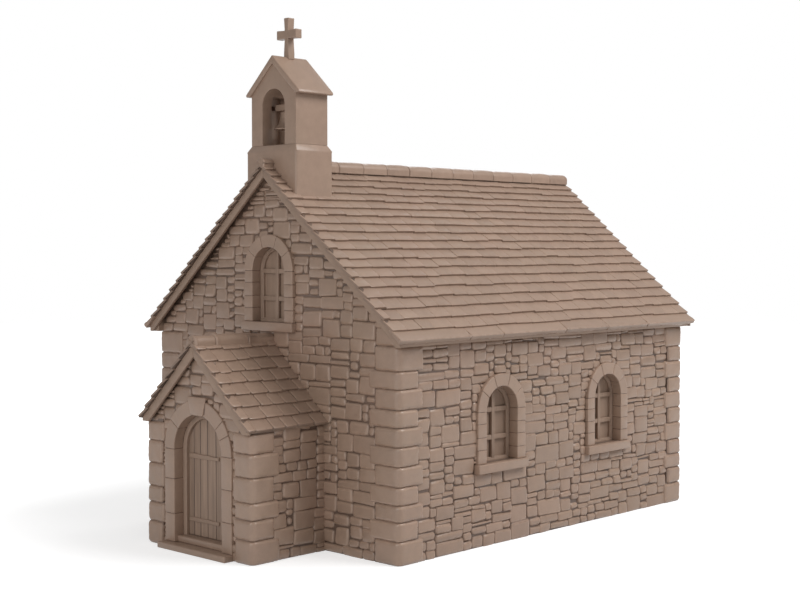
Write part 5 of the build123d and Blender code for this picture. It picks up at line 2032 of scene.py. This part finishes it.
@dataclass
class BellCote:
    """Stone bell-cote with its cap, cross, headstock, bell and clapper."""

    chapel: Chapel
    finishes: Finishes

    ROUNDING = {"base": (0.012, 0.045), "shaft": (0.012, 0.045), "cap": (0.024, 0.0)}
    ARM_DROP = 0.274
    ARM_HALF = 0.066
    ARM_FLARE = 0.15
    POST_HALF = 0.042
    POST_FLARE = 0.45
    CROSS_RADIUS = 0.012
    SHOULDER_DROP = 0.022
    RING_WIDTH = 0.006
    RING_PROUD = 0.0045

    def stones(self) -> None:
        """Base, shaft and cap with softened arrises."""
        for part, (width, upright) in self.ROUNDING.items():
            node = f"bellcote_{part}"
            piece = softened(node, f"{node}_stone", width, upright)
            self.finishes.fit(piece, Finishes.DRESSED, Slot.DRESSED, replaced=(node,))

    def cross(self) -> None:
        """Cross whose arms flare towards their ends, as the square of the distance from the crossing."""
        cross_low, cross_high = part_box("cross")
        middle_y = (cross_low.y + cross_high.y) / 2
        deep = (cross_high.y - cross_low.y) / 2
        crossing = cross_high.z - self.ARM_DROP
        rise = (cross_high.z - cross_low.z) / 2

        def post(spot: Array) -> Array:
            """Widens the post above and below the crossing."""
            share = np.minimum(np.abs(spot[..., 2] - crossing) / self.ARM_DROP, 1.0)
            x = spot[..., 0] * (1 + self.POST_FLARE * share**2)
            return np.stack([x, spot[..., 1], spot[..., 2]], axis=-1)

        def arm(spot: Array) -> Array:
            """Deepens the arms towards both ends."""
            share = np.minimum(np.abs(spot[..., 0]) / cross_high.x, 1.0)
            z = crossing + (spot[..., 2] - crossing) * (1 + self.ARM_FLARE * share**2)
            return np.stack([spot[..., 0], spot[..., 1], z], axis=-1)

        stone = Blocks(120, uneven=0.001, knots=13)
        post_half = (self.POST_HALF, deep, rise - 0.002)
        arm_half = (cross_high.x, deep - 0.001, self.ARM_HALF)
        upright = stone.lay((0.0, middle_y, cross_low.z + rise), post_half, self.CROSS_RADIUS, post)
        level = stone.lay((0.0, middle_y, crossing), arm_half, self.CROSS_RADIUS, arm)
        piece = Shell.joined([upright, level]).piece("cross_stone")
        self.finishes.fit(piece, Finishes.DRESSED, Slot.DRESSED, replaced=("cross",))

    def bell(self) -> None:
        """Bell turned from a flaring curve with three raised rings."""
        bell_low, bell_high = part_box("bell")
        lip = (bell_high.x - bell_low.x) / 2
        foot, top = bell_low.z, bell_high.z - self.SHOULDER_DROP
        outside = [
            (0.118, top), (0.146, top - 0.018), (0.152, top - 0.055), (0.16, top - 0.13),
            (0.184, top - 0.205), (0.232, foot + 0.04), (lip, foot + 0.012),
        ]
        inside = [(lip - 0.024, foot + 0.001), (0.178, foot + 0.09), (0.124, top - 0.06), (0.0, top - 0.03)]
        outer, inner = smooth_line(outside, 40), smooth_line(inside, 16)
        levels = (top - 0.06, top - 0.085, foot + 0.075)
        rings = sum(np.exp(-((outer[:, 1] - level) / self.RING_WIDTH) ** 2) for level in levels)
        outer[:, 0] += self.RING_PROUD * rings
        crown = [(0.0, bell_high.z), (0.05, bell_high.z), (0.052, top + 0.004), (0.1, top + 0.003)]
        profile = np.concatenate([crown, outer, [(lip - 0.006, foot)], inner])
        piece = turned(profile[::-1], 0.0, self.chapel.cote_y).piece("bell_casting")
        self.finishes.fit(piece, Finishes.BELL_METAL, Slot.BELL_METAL, Body.BELL, ("bell",))

    def build(self) -> None:
        """All pieces of the bell-cote."""
        self.stones()
        self.cross()
        self.bell()
        stock = softened("bell_headstock", "headstock_wood", 0.008)
        self.finishes.fit(stock, Finishes.CROSS_WOOD, Slot.TIMBER, Body.BELL, ("bell_headstock",))
        self.finishes.dress_nodes(Finishes.IRON, "clapper bell_bearings")


@dataclass(frozen=True)
class Lamp:
    """One soft lamp of the studio.

    Attributes:
        name: Its name.
        place: Where it stands.
        size: Side of its square.
        power: Its power in watts.
        aim: The point that it faces.
    """

    name: str
    place: tuple[float, float, float]
    size: float
    power: float
    aim: tuple[float, float, float] = (0.0, 0.0, 3.0)

    def stand(self) -> None:
        """Puts the lamp into the scene."""
        light = bpy.data.lights.new(self.name, "AREA")
        light.size = self.size
        light.energy = self.power
        lamp = placed(self.name, light)
        lamp.location = self.place
        lamp.rotation_euler = (Vector(self.aim) - Vector(self.place)).to_track_quat("-Z", "Y").to_euler()


@dataclass
class Studio:
    """Pale floor, soft light and the camera at the photograph's angle."""

    camera_place: tuple[float, float, float] = (17.489, -19.108, 4.863)
    camera_turn: tuple[float, float, float] = (87.767, 0.0, 43.638)
    lens: float = 63.23
    sensor: float = 36.0
    floor_half: float = 60.0
    lamps: tuple[Lamp, ...] = (
        Lamp("key", (18.0, 7.0, 25.0), 16.0, 6000.0),
        Lamp("fill", (6.0, -24.0, 9.0), 12.0, 1250.0),
        Lamp("rear", (-14.0, 18.0, 14.0), 12.0, 800.0),
    )
    ambient: float = 0.36

    CLIP_END = 500.0
    WHITE = (1.0, 1.0, 1.0, 1.0)
    FLOOR_GREY = (0.62, 0.62, 0.62, 1.0)
    GLOW_SPAN = (6.0, 12.0)
    GLOW_LEVELS = (0.6, 1.0)

    def camera(self) -> None:
        """Camera as fitted to the photograph's straight edges."""
        data = bpy.data.cameras.new("camera")
        data.lens = self.lens
        data.sensor_width = self.sensor
        data.clip_end = self.CLIP_END
        camera = placed("camera", data)
        camera.location = self.camera_place
        camera.rotation_euler = [radians(turn) for turn in self.camera_turn]
        bpy.context.scene.camera = camera

    def floor(self) -> None:
        """White floor that keeps a soft shadow."""
        half = self.floor_half
        mesh = bpy.data.meshes.new("floor")
        corners = [(-half, -half, 0), (half, -half, 0), (half, half, 0), (-half, half, 0)]
        mesh.from_pydata(corners, [], [(0, 1, 2, 3)])
        floor = placed("floor", mesh)
        material = bpy.data.materials.new("floor")
        bench = Bench.on(material)
        seen = bench.add("ShaderNodeLightPath")
        bright = bench.math("MAXIMUM", seen.outputs["Is Camera Ray"], seen.outputs["Is Glossy Ray"])
        place = bench.add("ShaderNodeTexCoord").outputs["Object"]
        far = bench.add("ShaderNodeVectorMath", {0: place}, operation="LENGTH").outputs["Value"]
        ends = dict(enumerate((far, *self.GLOW_SPAN, *self.GLOW_LEVELS)))
        level = bench.add("ShaderNodeMapRange", ends, interpolation_type="SMOOTHSTEP").outputs[0]
        glow = bench.add("ShaderNodeEmission", {"Strength": bench.math("MULTIPLY", bright, level)})
        matt = bench.add("ShaderNodeBsdfDiffuse", {"Color": self.FLOOR_GREY})
        both = bench.add("ShaderNodeAddShader", {0: glow.outputs[0], 1: matt.outputs[0]})
        bench.add("ShaderNodeOutputMaterial", {"Surface": both.outputs[0]})
        mesh.materials.append(material)

    def sky(self) -> None:
        """Even surrounding light, seen as plain white."""
        world = bpy.data.worlds.new("studio")
        bench = Bench.on(world)
        seen = bench.add("ShaderNodeLightPath")
        bright = bench.math("MAXIMUM", seen.outputs["Is Camera Ray"], seen.outputs["Is Transmission Ray"])
        dim = bench.add("ShaderNodeBackground", {"Color": self.WHITE, "Strength": self.ambient})
        white = bench.add("ShaderNodeBackground", {"Color": self.WHITE, "Strength": 1.0})
        mix = bench.add("ShaderNodeMixShader", {0: bright, 1: dim.outputs[0], 2: white.outputs[0]})
        bench.add("ShaderNodeOutputWorld", {"Surface": mix.outputs[0]})
        bpy.context.scene.world = world

    def build(self) -> None:
        """Sets up the studio."""
        self.camera()
        self.floor()
        self.sky()
        for lamp in self.lamps:
            lamp.stand()
        bpy.context.scene.view_settings.view_transform = "Standard"


def main() -> None:
    """Builds the studio and the sub-assemblies in order."""
    logging.basicConfig(level=logging.INFO, format="%(message)s")
    chapel, finishes = Chapel(), Finishes()
    Studio().build()
    windows = Windows(chapel, finishes)
    others = (kind(chapel, finishes) for kind in (Doorway, Roofs, BellCote))
    for assembly in (windows, Walls(chapel, finishes, windows), *others):
        assembly.build()
        LOG.info("%s done", type(assembly).__name__)


if __name__ == "__main__":
    main()
